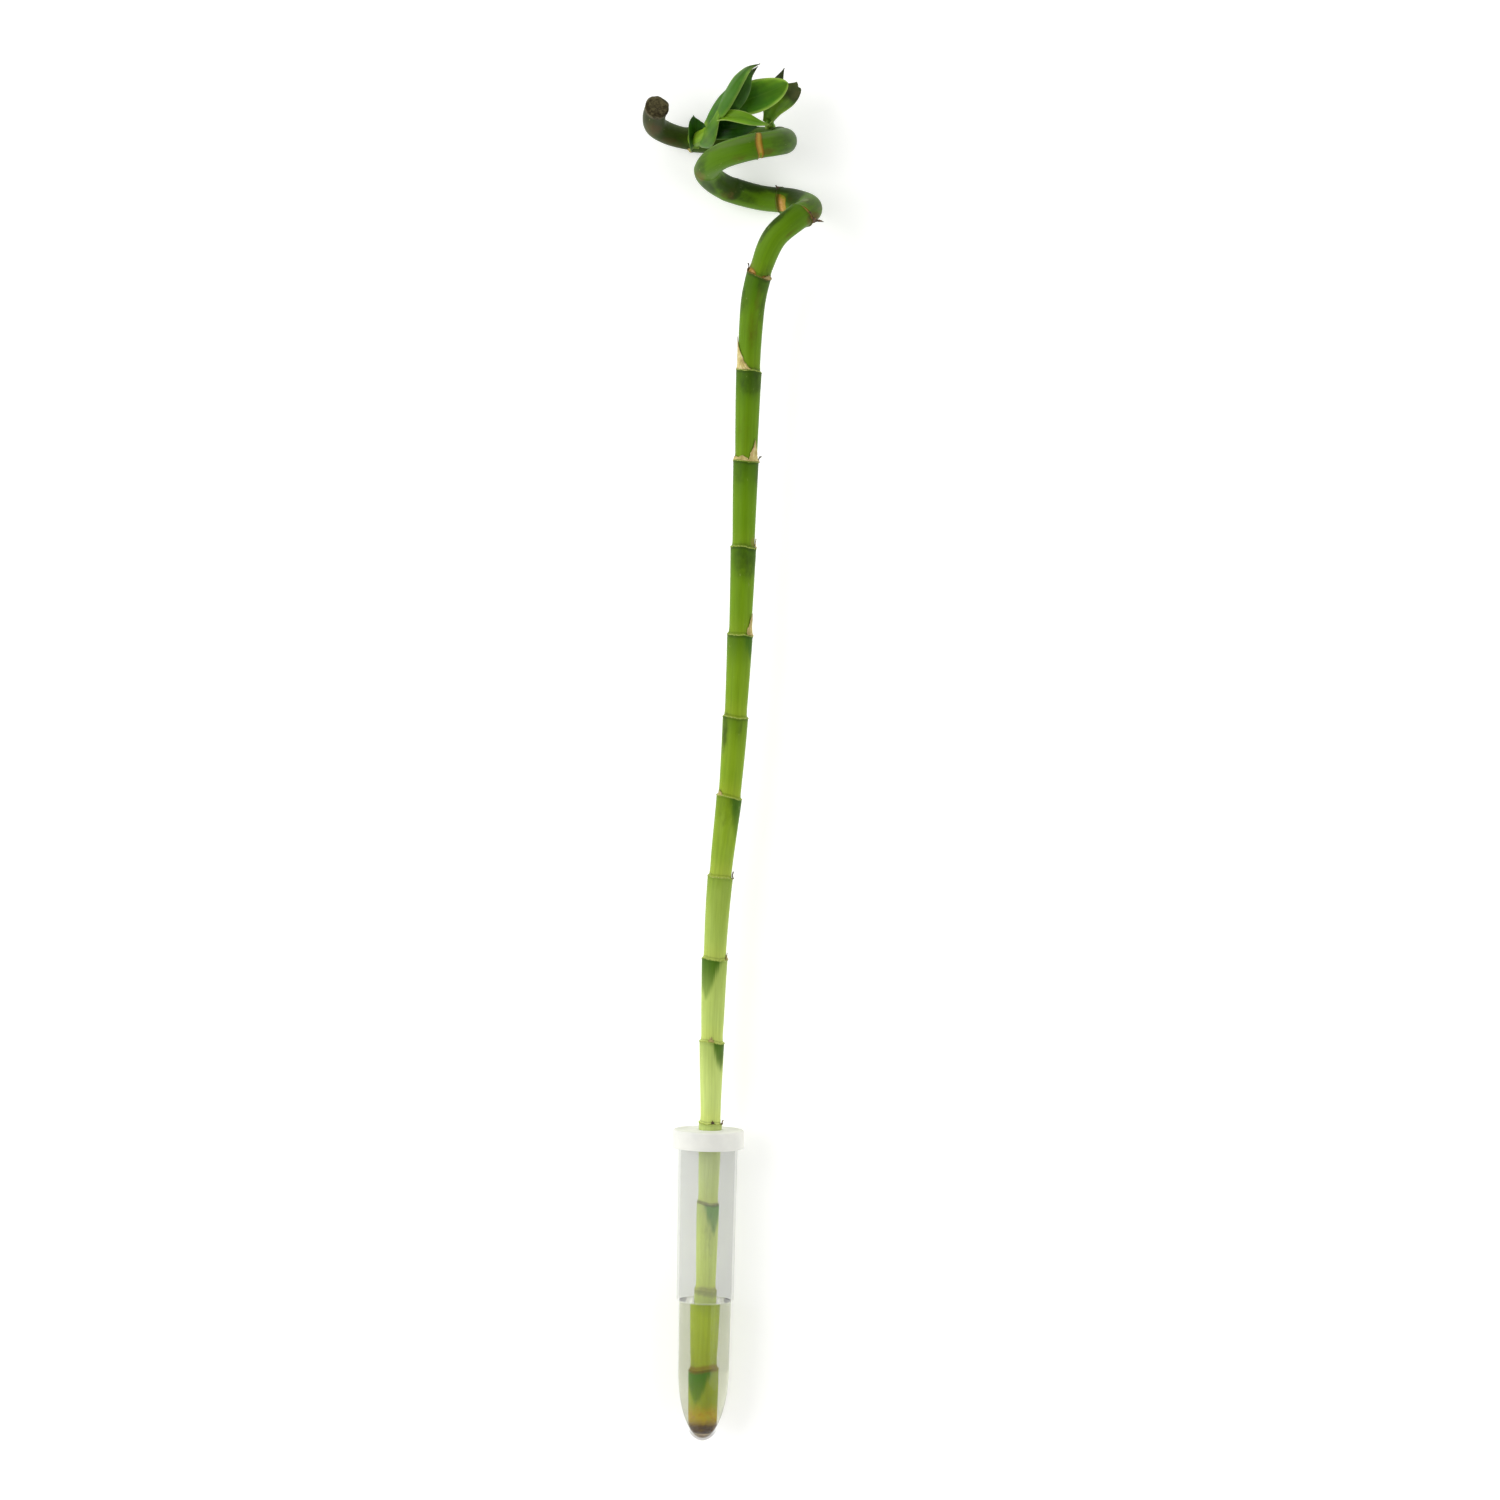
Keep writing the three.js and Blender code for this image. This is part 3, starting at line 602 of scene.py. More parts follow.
dark_and_painted_shade_mark, browned_mark, waxed_mark, dried_mark = map(cloud_mark, (DARK_AND_PAINTED_SHADE, BROWNED, WAXED, DRIED))
BUD_RUN, BUD_ANGLE, BUD_LONG, BUD_FAR = 451.8, 298, 1.25, 4
bud_side = COIL_RADIUS * angle_gap(around, BUD_ANGLE)
bud_mark = np.hypot((row_runs[:, None] - BUD_RUN) / BUD_LONG, bud_side).clip(0, BUD_FAR)
print("soft places:", len(DARK_AND_PAINTED_SHADE) + len(BROWNED) + len(WAXED) + len(DRIED))

# %% [markdown]
# Now the skin's radius is known everywhere. A collar is a small ridge with a crease above it,
# and a lens is a shallow hollow between two thin ridges.

# %% The skin itself, with its collars
# on the coil and on the straight part: how ragged a collar's edge is, how wide and how high it is
COLLAR_SIZES = {True: (0.22, 0.36, 0.3), False: (0.13, 0.2, 0.2)}
WORN_LEFT, WORN_EDGE = 0.15, 22
# in mm from the torn edge: where each line of a collar lies, and how wide it is
# the last two place the painted shade that falls just below a ring's collar
RIDGE_AT, CREASE_AT, CREASE_WIDE, SHADE_BELOW_RING_AT, SHADE_BELOW_RING_WIDE = -0.12, 0.62, 0.28, -0.75, 0.42
CREASE_DEEP, OUTLINE_HIGH, OUTLINE_WIDE = 0.1, 0.13, 0.2
loops, collar, crease_shade_mark, painted_shade_below_ring_mark, share_mark = [], [], [], [], []
for i, (run, ring, past) in enumerate(zip(row_runs, ring_of_row, past_of_row)):
    coil = ring >= COIL_RINGS_FROM
    tear, wide, high = COLLAR_SIZES[bool(coil)]
    shown = min(1, 2.5 * RIM_LEFT[ring]) if coil else WORN_LEFT if ring < 3 else 1.0
    if ring in WORN:
        gone, reach = WORN[ring]
        kept = ease(np.abs(angle_gap(around, gone)), np.radians(reach - WORN_EDGE), np.radians(reach))
        shown = shown * (WORN_LEFT + 0.85 * kept)
    edge = past - tear * ring_tear(ring, around)
    patchy = 0.62 + 0.38 * waves(around, (1, 2, 3), ring_phase[ring][5:8], (0.5, 0.5, 0.4))
    ridge, crease = bump(edge, RIDGE_AT, wide), bump(edge, CREASE_AT, CREASE_WIDE)
    outline = bump(lens_mark[i], 0, OUTLINE_WIDE) - 0.6 * ease(lens_mark[i], 0.1, 0.7)
    shape = shown * (ridge * high * (0.6 + 0.4 * patchy) - CREASE_DEEP * crease) + OUTLINE_HIGH * outline
    radius = skin_radius(np.full(CANE_SIDES, run), edge) + shape
    oval = waves(around, (2, 3), ring_phase[ring][4:6], (0.05, 0.025)) * (1 - ease(abs(past), 4, 8))
    loops.append(cane_line.on_skin(place_on_cane(run, past, ring, around), around, radius + oval))
    left = shown * (RIM_LEFT[ring] * (0.4 + 0.6 * patchy) if coil else 0.75 + 0.25 * patchy)
    collar.append(bump(edge, -0.1, 1.3 * wide) * left)
    # painted shade in the crease above the collar
    crease_shade_mark.append(crease * shown)
    # painted shade just below the collar's torn edge
    painted_shade_below_ring_mark.append(shown * bump(edge, SHADE_BELOW_RING_AT, SHADE_BELOW_RING_WIDE))
    joint = ring + (past >= 0)
    start, end = joint_ends[joint], joint_ends[joint + 1]
    share_mark.append(np.full(CANE_SIDES, (run - start) / (end - start)))
loops = np.array(loops)
wrapped = (SKIN_RADIUS * np.cos(around), SKIN_RADIUS * np.sin(around), row_runs[:, None])
bark = np.stack(np.broadcast_arrays(*wrapped), -1)
print("skin net:", loops.shape)

# %% Close the two cut ends
def cut_end(run, offsets, shares, lumps):
    """Loops that run inwards over a cut face, the last one small."""
    spot, way, high, right = (value[0] for value in cane_line.at(np.array([run])))
    radius = float(skin_radius(np.array([run]))[0])
    made = []
    for i, (offset, share) in enumerate(zip(offsets, shares)):
        wave = 1 + lumps * waves(around, (4, 7, 11), (i * 1.3, 1 + i * 0.7, 2 + i), (0.5, 0.35, 0.25))
        out = radius * share * wave[:, None]
        rise = lumps * 2 * waves(around, (3, 5, 9), (i * 2.1, i * 1.1, i * 3.2), (0.5, 0.4, 0.3))
        across = high * np.cos(around)[:, None] + right * np.sin(around)[:, None]
        made.append(spot + way * (offset + rise * share)[:, None] + across * out)
    return made


foot = cut_end(0.0, (-2.1, -2.05, -1.75, -1.25, -0.7, -0.2), (0.1, 0.45, 0.72, 0.88, 0.97, 1.0), 0.012)
seal_offsets = (-1.25, -0.8, -0.4, -0.1, 0.12, 0.2, 0.12, -0.02, -0.1)
seal_shares = (1.03, 1.06, 1.03, 0.95, 0.83, 0.66, 0.45, 0.26, 0.08)
seal = cut_end(cane_line.length, seal_offsets, seal_shares, 0.045)
whole = np.concatenate([foot, loops, seal])
print("the closed cane has", len(whole), "rows")

# %% Marks for the cane's whole net
def padded_mark(values, at_ends):
    """A mark of the skin with a value for the two cut ends added."""
    ends = [np.full((len(end), CANE_SIDES), at_ends) for end in (foot, seal)]
    return np.concatenate([ends[0], np.broadcast_to(values, loops.shape[:2]), ends[1]]).ravel()


end_shares = [np.linspace(0, 1, len(foot)), np.ones(len(loops)), np.linspace(1, 0, len(seal))]
end_shares = np.concatenate(end_shares)
bark_rows = [np.repeat(bark[:1], len(foot), 0), bark, np.repeat(bark[-1:], len(seal), 0)]
to_middle = np.stack([end_shares, end_shares, np.ones_like(end_shares)], -1)[:, None, :]
cane_marks = {"bark": (np.concatenate(bark_rows) * to_middle).reshape(-1, 3)}
cut_mark = ease(row_runs, cane_line.length - 3.4, cane_line.length - 2)[:, None]
# each mark's name, its values on the skin and its value on the cut ends
SKIN_MARKS = [
    ("collar", collar, 0), ("crease", crease_shade_mark, 0), ("share", share_mark, 0.5),
    ("tongue", tongue_mark, FAR), ("lens", lens_mark, FAR), ("tan", tan_mark, 0),
    ("dark_and_painted_shade", dark_and_painted_shade_mark, 0), ("browned", browned_mark, 0), ("waxed", waxed_mark, 0),
    ("dried", dried_mark, 0), ("painted_shade_below_ring", painted_shade_below_ring_mark, 0), ("bud", bud_mark, BUD_FAR), ("cut", cut_mark, 1),
]
for name, values, at_ends in SKIN_MARKS:
    cane_marks[name] = padded_mark(np.array(values), at_ends)
print("marks:", ", ".join(cane_marks))

# %% [markdown]
# ## The finish of the cane
#
# Living bark is satin, not shiny: a thin wax lies on it. Its green goes from yellow-green at the
# foot, where it stood in the dark of the tube, to deep green at the coil. Fine lengthwise
# streaks and a few pale or rusty flecks break the colour. The noise reads coordinates that are
# wrapped round the cane and stretched along it, which gives streaks that never meet in a seam.

# %% Streaks, clouds and grain
cane_finish, wire = new_finish("living_cane")
bark_at = wire.mark("bark", vector=True)
run = wire.node("SeparateXYZ", None, {0: bark_at}, out=2)
streaks = bark_at.stretched(1.1, 1.1, 0.035).noise(1.0, 4.0, 0.6)
fine_streaks = bark_at.stretched(4.0, 4.0, 0.12).noise(1.0, 3.0, 0.6)
clouds = bark_at.stretched(0.16, 0.16, 0.06).noise(1.0, 3.0)
mottle = bark_at.stretched(0.5, 0.5, 0.3).noise(1.0, 4.0, 0.65)
grain = bark_at.noise(3.0, 3.0, 0.6)
print("noise fields ready")

# %% The green, from foot to top
# share of the cane's length, and the green there
RAMP_LENGTH = 640
GREENS = [
    (0.0, "#a8b420"),  # the cut foot
    (0.07, "#c8dc44"),  # in the gel
    (0.15, "#c8d880"),  # in the tube, above the gel
    (0.34, "#7c981c"),  # the lower cane
    (0.5, "#608408"),  # the upper cane
    (0.88, "#486c04"),  # the coil
    (1.0, "#303018"),  # the dry end
]
green = (run * (1 / RAMP_LENGTH) + (clouds - 0.5) * 0.06).stops(*GREENS)
share = wire.mark("share")
upper = run.eased(190, 330)
straight = 1 - run.eased(COIL_START, COIL_START + 25)
green = green.under((1 - share.eased(0.0, 0.3)) * straight * (0.22 - 0.16 * upper), "#b6ba3c")
dark_top = (share + (clouds - 0.5) * 0.3 + (streaks - 0.5) * 0.3).eased(0.5, 1.1)
green = green.under(dark_top * (0.22 + 0.5 * upper) * (0.4 + 0.6 * straight), "#2f5404")
tongue = (wire.mark("tongue") + (streaks - 0.5) * 3.6 + (fine_streaks - 0.5) * 1.8).eased(-0.6, 1.8)
tongue_green = run.eased(85, 120).stops((0.0, "#4e8a02"), (1.0, "#386003"))
green = green.under(tongue * (0.5 + 0.42 * share.eased(0.5, 1.0)), tongue_green)
green = green.lit(0.74 + 0.54 * streaks).lit(0.88 + 0.24 * fine_streaks)
print("green ready")

# %% Shade, wax and flecks
# darker green, partly the bark's own colour and partly painted shade under the bands of the coil
green = green.under((wire.mark("dark_and_painted_shade") + (mottle - 0.5) * 0.7).eased(0.12, 0.95) * 0.8, "#1d2e08")
wax = (wire.mark("waxed") + (mottle - 0.5) * 0.8).eased(0.15, 1.0)
green = green.under(wax * 0.5, "#5e6c44")
umber = (wire.mark("browned") + (mottle - 0.5) * 0.9).eased(0.1, 1.0)
umber_brown = run.eased(24, 70).stops((0.0, "#96660e"), (0.5, "#6a5812"), (1.0, "#54360f"))
green = green.under(umber * 0.66, umber_brown)
rosy = (wire.mark("dried") + (mottle - 0.5) * 0.8).eased(0.2, 0.9)
green = green.under(rosy * 0.5, "#80683c")
pale_flecks = bark_at.stretched(0.9, 0.9, 0.35).noise(1.0, 2.0).eased(0.7, 0.76)
rust_flecks = bark_at.stretched(0.55, 0.55, 0.22).noise(1.7, 4.0, 0.65).eased(0.7, 0.74)
green = green.under(pale_flecks * 0.22, "#a5ab6a")
green = green.under(rust_flecks * 0.55 * run.eased(330, 440), "#6a3c14")
bud = wire.mark("bud") + (grain - 0.5) * 0.5
green = green.under((1 - bud.eased(0.3, 1.6)) * 0.6, "#8c9660")
green = green.under((1 - (bud - 1.5).size().eased(0.1, 0.5)) * 0.4, "#4a4020")
print("patches ready")

# %% Collars, bare lenses and cut ends
lens = wire.mark("lens") + (grain - 0.5) * 0.3
bare_noise = bark_at.stretched(1.4, 1.4, 0.5).noise(1.0, 3.0)
bare = (wire.mark("tan") + (bare_noise - 0.5) * 0.5).stops(
    (0.15, "#66800f"), (0.35, "#968a28"), (0.55, "#b08a3c"), (0.75, "#c89a5a"), (0.95, "#d4a872"),
)
skin = green.under(lens.eased(-0.3, 0.05) * 0.5, "#5e4410")
skin = skin.under(lens.eased(0.1, 0.4) * 0.85, "#966a1e")
skin = skin.under(lens.eased(0.4, 0.9), bare)
rim_noise = bark_at.stretched(2.2, 2.2, 1.2).noise(1.0, 3.0, 0.6)
pale_rim = rim_noise.stops((0.3, "#788434"), (0.5, "#93a348"), (0.7, "#b0b46c"))
rust_rim = rim_noise.stops((0.3, "#2c1e10"), (0.45, "#54361c"), (0.6, "#6e4a28"), (0.75, "#8a7a42"))
rim = pale_rim.under(run.eased(COIL_START - 20, COIL_START), rust_rim)
# painted shade in the crease above each collar
skin = skin.under(wire.mark("crease") * 0.35, "#383a10")
# painted shade just below each collar, stronger higher up the cane
skin = skin.under(wire.mark("painted_shade_below_ring") * (0.15 + 0.5 * upper), "#2e4208")
collar_at = wire.mark("collar")
skin = skin.under((collar_at + (rim_noise - 0.5) * 0.5).eased(0.35, 0.75), rim)
end_noise = bark_at.noise(0.9, 5.0, 0.65)
cork = end_noise.stops((0.3, "#191408"), (0.48, "#3c3620"), (0.6, "#5a5438"), (0.75, "#35260f"))
golden = end_noise.stops((0.3, "#c08a08"), (0.5, "#e4bc10"), (0.72, "#ccc414"))
wet_brown = end_noise.stops((0.3, "#200f04"), (0.55, "#4c2408"), (0.75, "#7a4208"))
skin = skin.under((1 - (run + (mottle - 0.5) * 5).eased(4, 10)) * 0.85, golden)
skin = skin.under((1 - (run + (mottle - 0.5) * 4).eased(-0.4, 4.0)) * 0.9, wet_brown)
cut = wire.mark("cut") * run.eased(600, 620)
skin = skin.under((cut + (mottle - 0.5) * 0.6 * run.eased(628, 634)).eased(0.2, 0.8), cork)
print("skin ready")

# %% Relief and gloss of the cane
relief = streaks * 0.35 + fine_streaks * 0.25 + grain * 0.12 + rim_noise * collar_at * 1.2
relief = relief + end_noise * cut * 3 + mottle * 0.3
gloss = 0.42 + 0.14 * grain + collar_at * 0.25 + wax * 0.1 + cut * 0.25
satin = {"IOR": 1.4, "Specular IOR Level": 0.12, "Sheen Weight": 0.08, "Sheen Roughness": 0.4}
lay_on(wire, skin, gloss, relief, depth=0.12, **satin)

# %% Make the cane
cane_net = Net()
cane_net.round(whole, **cane_marks)
cane_net.piece("cane", "cane", cane_finish, ["bamboo_cane"])

# %% [markdown]
# ## Torn sheaths
#
# Scraps of the old leaf sheaths still cling above some rings: papery tongues that hug the next
# joint, and a few dry points that stand off it. They could be painted on, but they have an edge
# that catches the light, so each one is a thin sheet of its own, laid on the skin.

# %% A scrap of sheath on the skin
SCRAP_ROWS, SCRAP_COLUMNS = 22, 14
SCRAP_LIFT, SCRAP_THICKNESS, SCRAP_EDGE = 0.16, 0.3, 0.14


def scrap(net, ring, left, right, apex, tall, lift, dry, bend=0.9):
    """A torn tongue from a ring: its side angles, its tip's angle, height and lift."""
    s = np.linspace(0, 1, SCRAP_ROWS)[:, None]
    v = np.linspace(0, 1, SCRAP_COLUMNS)[None, :]
    phase = rng.uniform(0, 6, 4)
    edges = [mix(np.radians(side), np.radians(apex), s**bend) for side in (left, right)]
    torn = 0.06 * waves(s * 2 * np.pi, (2, 5), phase[:2], (1, 0.6)) * (1 - s)
    angles = mix(edges[0] + torn, edges[1] - torn, v)
    ragged = 0.5 * waves(v * 2 * np.pi, (2, 4, 7), phase[:3], (0.3, 0.3, 0.25))
    runs = ring_runs[ring] + 0.1 + tall * s * (1 + 0.3 * ragged * s) + ring_shift(ring, angles)
    base = skin_radius(runs) + SCRAP_LIFT
    side = 2 * v - 1
    curl = lift * s**2.2 * (0.7 + 0.6 * np.abs(side)) + 0.06 * waves(v * 6, (1, 2), phase[2:], (1, 0.5))
    thin = mix(SCRAP_THICKNESS, SCRAP_EDGE, s) * (1 - 0.5 * np.abs(side) ** 4)
    upper = cane_line.on_skin(runs, angles, base + curl + thin)
    lower = cane_line.on_skin(runs, angles, base + curl)
    marks = {"across": np.broadcast_to(side, runs.shape), "dry": np.full(runs.shape, dry)}
    net.sheet(lower, upper, **marks)


# ring, left, right, tip's angle, height, lift off the skin, dryness (0 pale paper, 1 dark brown)
SCRAPS = [
    (12, -112, 6, -84, 11.0, 0.1, 0.15), (11, 8, 92, 46, 7.5, 0.25, 0.2),
    (11, 150, 215, 190, 4, 0.2, 0.3), (9, 30, 92, 62, 7.4, 0.35, 0.15),
    (10, 62, 98, 84, 3.2, 0.3, 0.3), (8, 140, 200, 175, 4.5, 0.3, 0.3),
    (7, -75, -30, -55, 2.0, 0.25, 0.3), (5, 60, 96, 80, 2.4, 0.3, 0.5), (6, 66, 92, 80, 2.6, 0.4, 0.9),
    (4, -20, 14, -4, 1.8, 0.15, 0.15), (3, 2, 26, 12, 1.3, 0.1, 0.9), (13, 20, 80, 50, 1.6, 0.15, 0.5),
    (13, 170, 250, 210, 4, 0.25, 0.5), (21, 215, 262, 240, 1.6, 0.25, 0.0),
    (11, -85, -30, -60, 1.3, 0.2, 0.15, 3), (11, -40, 14, -16, 1.7, 0.25, 0.2, 3),
]
scrap_net = Net()
for values in SCRAPS:
    scrap(scrap_net, *values)
print("scraps:", len(SCRAPS))

# %% Dry points that stand off a ring
# ring, angle, length, how far the tip stands off
POINTS = [
    (3, 80, 1.4, 0.8), (11, 95, 2.2, 1.3), (13, 275, 2.0, 0.7), (14, 54, 3.1, 1.7),
    (15, 285, 1.6, 0.9), (18, 330, 2.0, 0.7),
]
POINT_HALF, POINT_DRY = 19, 0.95
for ring, side, long, out in POINTS:
    edges = (side - POINT_HALF, side + POINT_HALF)
    scrap(scrap_net, ring, *edges, side + 4, long, out, POINT_DRY, bend=0.8)

# %% Broken collars of the coil
# ring, first and last angle, height
COLLARS = [(14, 0, 100, 0.8), (19, 40, 250, 0.7), (20, 90, 260, 0.8)]
TOOTH, OVERLAP, TOOTH_LIFT = 34.0, 3, 0.12
for ring, start, end, tall in COLLARS:
    for left in np.arange(start, end, TOOTH):
        tip = left + TOOTH / 2 + rng.uniform(-12, 12)
        edges = (left - OVERLAP, left + TOOTH + OVERLAP)
        height = tall * rng.uniform(0.6, 1.2)
        scrap(scrap_net, ring, *edges, tip, height, TOOTH_LIFT, rng.uniform(0.6, 1), 0.5)

# %% Finish of the torn sheaths
sheath_finish, wire = new_finish("torn_sheath")
across_at, dry_at = wire.mark("across"), wire.mark("dry")
spot = wire.place()
fibres = wire.sum("SINE", across_at * 26 + spot.noise(160, 2.0) * 5, 0)
mottle = spot.noise(420, 4.0, 0.6)
paper = mottle.stops((0.3, "#9a8a46"), (0.5, "#c2b06a"), (0.7, "#dacf96"))
brown = mottle.stops((0.3, "#24190d"), (0.5, "#4a3620"), (0.7, "#7a6238"))
sheath = paper.under((dry_at + (mottle - 0.5) * 0.5).eased(0.3, 0.8), brown)
sheath = sheath.under(fibres.eased(0.5, 1.0) * 0.4, "#6e5a2e")
left_edge = 1 - (across_at + 0.75).size().eased(0.1, 0.3)
sheath = sheath.under(left_edge * mottle.eased(0.5, 0.62) * 0.5, "#a8602a")
lay_on(wire, sheath, 0.62 + 0.2 * mottle, fibres * 0.5 + mottle, depth=0.08)
scrap_net.piece("torn_sheaths", "cane", sheath_finish)

# %% [markdown]
# ## Leaves
#
# A blade of this plant rolls round the bud at its foot, opens towards the middle and ends in a
# point. Its veins run side by side from foot to tip. Each blade here is a sheet that follows its
# own line: the table gives the line, the way the inner side looks, how far the blade is rolled,
# and where it is widest. The numbers follow the solid's, with small changes where the real leaf
# asked for them, such as a slimmer foot. The finer net adds a fold along the middle, a little
# wave in the margins, a thin edge and torn tips.

# %% A blade on its line
BLADE_ROWS, BLADE_COLUMNS = 56, 22
BLADE_THICKNESS, THIN_EDGE, THIN_TIP = 0.62, 0.55, 0.6
FOLD_WIDTH = 0.16
STALK_ROWS, STALK_SIDES, STALK_RIPPLE = 30, 36, 0.08


def blade(
    net, line, face, curl, width, foot=0.7, fullest=0.45, blunt=1.15, cut=0.03, torn=((-1, 0), (1, 0)),
    fold=0.1, wave=0.12, tint=0.5, young=0.0, heart=0.0, brown=0.0,
):
    """One leaf blade, from its foot to its tip.

    face and curl are given at foot and tip, foot is how wide the foot is and fullest where the
    blade is widest, as shares; blunt and cut round the tip, and torn pushes it out in mm, from
    one margin to the other. The rest are the fold, the wave and the marks for the finish.
    """
    s = np.linspace(0, 1, BLADE_ROWS)
    v = np.sin(np.linspace(-1, 1, BLADE_COLUMNS) * np.pi / 2)[None, :]
    fine = through(line)
    run = np.concatenate([[0], np.cumsum(np.linalg.norm(np.diff(fine, axis=0), axis=1))])
    spots = np.stack([np.interp(s * run[-1], run, fine[:, k]) for k in range(3)], -1)
    ways = unit(np.gradient(spots, axis=0))
    inner = mix(unit(np.array(face[0], float)), unit(np.array(face[1], float)), s[:, None])
    inner = unit(inner - (inner * ways).sum(-1, keepdims=True) * ways)
    sides = np.cross(ways, inner)
    rise = np.sin(np.minimum(s / fullest, 1) * np.pi / 2)
    fall = np.cos(np.clip((s - fullest) / (1 - fullest), 0, 1) * np.pi / 2)
    half = (width / 2) * mix(foot, 1, rise) * np.maximum(fall**blunt, cut)
    roll = np.radians(mix(curl[0], curl[1], np.minimum(s * 1.6, 1)))
    bend = half / (roll / 2)
    angle = v * (roll / 2)[:, None]
    thick = BLADE_THICKNESS / 2 * (1 - THIN_EDGE * np.abs(v) ** 5) * mix(1, THIN_TIP, s[:, None] ** 3)
    dip = fold * half[:, None] * bump(v, 0, FOLD_WIDTH) * ease(s, 0.02, 0.3)[:, None]
    ripple = wave * np.sin(s * 11 + tint * 20)[:, None] * v**3 * half[:, None]
    ripple = ripple * ease(s, 0.1, 0.4)[:, None]
    push = np.interp(v, *zip(*torn)) * s[:, None] ** 6
    layers = []
    for offset in (-thick, thick):
        reach = bend[:, None] + offset
        out = reach * np.sin(angle)
        lift = bend[:, None] - reach * np.cos(angle) - dip + ripple * 0.5
        layer = spots[:, None] + sides[:, None] * out[..., None] + inner[:, None] * lift[..., None]
        layers.append(layer + ways[:, None] * push[..., None])
    marks = {"leaf_along": s[:, None], "leaf_across": v, "leaf_width": half[:, None]}
    marks.update(tint=tint, young=young, heart=heart, brown=brown)
    shape = layers[0].shape[:2]
    net.sheet(*layers, **{name: np.broadcast_to(values, shape) for name, values in marks.items()})


def stalk(net, line, radii, tint):
    """The short stem that the blades grow from."""
    route = Line(line, 60)
    s = np.linspace(0, 1, STALK_ROWS)
    angles = np.arange(STALK_SIDES) / STALK_SIDES * 2 * np.pi
    runs, angles = np.meshgrid(s * route.length, angles, indexing="ij")
    share = runs / route.length
    radii = mix(radii[0], radii[1], share) + STALK_RIPPLE * np.cos(runs * 2.4)
    marks = {"leaf_along": share.ravel() * 0.2, "leaf_across": np.sin(angles).ravel() * 0.8}
    marks.update(leaf_width=3, tint=tint, young=0.8, heart=0, brown=0, under=0)
    net.round(route.on_skin(runs, angles, radii), **marks)


# %% Blades of the front shoot
FRONT_BLADES = {
    "bract": dict(
        line=[(-13, 471.7, 8.4), (-12.6, 474.4, 12), (-12.2, 477.9, 14.3), (-12.1, 481.6, 14.6)],
        face=[(0.35, 0.1, 0.9), (0.45, 0.1, 0.8)], curl=(130, 100), width=7.8, foot=0.55, fullest=0.74,
        blunt=0.45, cut=0.45, torn=((-1, 0.9), (1, -0.8)), tint=0.32,
    ),
    "hood": dict(
        line=[
            (-11.6, 475, 11.5), (-9.2, 475.6, 17.5), (-7, 477.4, 23.5), (-4.6, 480, 28.2),
            (-3.2, 482.6, 30),
        ],
        face=[(0.3, -0.2, -0.9), (0.35, -0.35, -0.85)], curl=(235, 120), width=12.6, foot=0.9,
        fullest=0.3, fold=0.03, wave=0.05, tint=0.5, young=0.55, heart=0.25,
    ),
    "long_leaf": dict(
        line=[
            (-6.4, 478.8, 22.8), (-0.8, 479.6, 29), (4.6, 478.8, 31), (9.8, 477.4, 31),
            (15.5, 476.8, 28.5),
        ],
        face=[(-0.1, 0.4, 0.85), (0.1, 0.3, 0.95)], curl=(150, 50), width=5.6, foot=0.4, fullest=0.45,
        tint=0.82, young=0.8, brown=0.2,
    ),
    "lower_leaf": dict(
        line=[(-7.2, 475.6, 16), (-1.6, 476.4, 20.6), (4.6, 477, 22), (10.8, 477.8, 20)],
        face=[(0, 0.3, 1), (0, 0.2, 1)], curl=(120, 60), width=10.4, foot=0.5, fullest=0.42, tint=0.17,
    ),
    "broad_leaf": dict(
        line=[(-2.6, 482.4, 21), (5.6, 486.1, 24.4), (13.7, 489.2, 26), (21.1, 493, 25)],
        face=[(0, 0.1, 1), (0, -0.1, 1)], curl=(120, 40), width=12.2, foot=0.4, fullest=0.48,
        blunt=0.56, fold=0.02, tint=0.6, young=0.62, heart=1.0,
    ),
    "inner_leaf": dict(
        line=[
            (-2.4, 480.8, 25), (2, 485.2, 28.8), (4.7, 489.8, 29.8), (6.4, 494.2, 29),
            (10.2, 498.4, 26.5),
        ],
        face=[(0.3, -0.2, -0.9), (0.2, -0.4, -0.9)], curl=(150, 60), width=6.6, foot=0.7, fullest=0.4,
        tint=0.3, brown=0.5,
    ),
    "tall_leaf": dict(
        line=[
            (-5.6, 479.2, 25.5), (-2.4, 483.6, 31.2), (0.4, 488, 33.5), (3.8, 493.3, 33),
            (6.8, 496.8, 31), (10.9, 499, 28),
        ],
        face=[(0.5, -0.3, -0.8), (0.3, -0.3, -0.9)], curl=(170, 60), width=6.8, foot=0.7, fullest=0.36,
        tint=0.45, young=0.3, heart=0.6, brown=0.5,
    ),
    "side_leaf": dict(
        line=[(-8.6, 478.4, 21.5), (-5.6, 483, 27), (-2.7, 487, 28.8), (0.6, 491.4, 27)],
        face=[(0.8, -0.2, -0.4), (0.7, -0.3, -0.6)], curl=(170, 70), width=6, foot=0.8, fullest=0.35,
        tint=0.4, brown=0.5,
    ),
}
FRONT_STALK = [
    (-12.2, 475.2, 8.5), (-10, 474.9, 13.5), (-7.2, 476.4, 19), (-4.8, 479, 24), (-3.2, 481, 27),
]
front_net = Net()
stalk(front_net, FRONT_STALK, (3.1, 0.6), 0.7)
for values in FRONT_BLADES.values():
    blade(front_net, **values)
print("front shoot:", ", ".join(FRONT_BLADES))

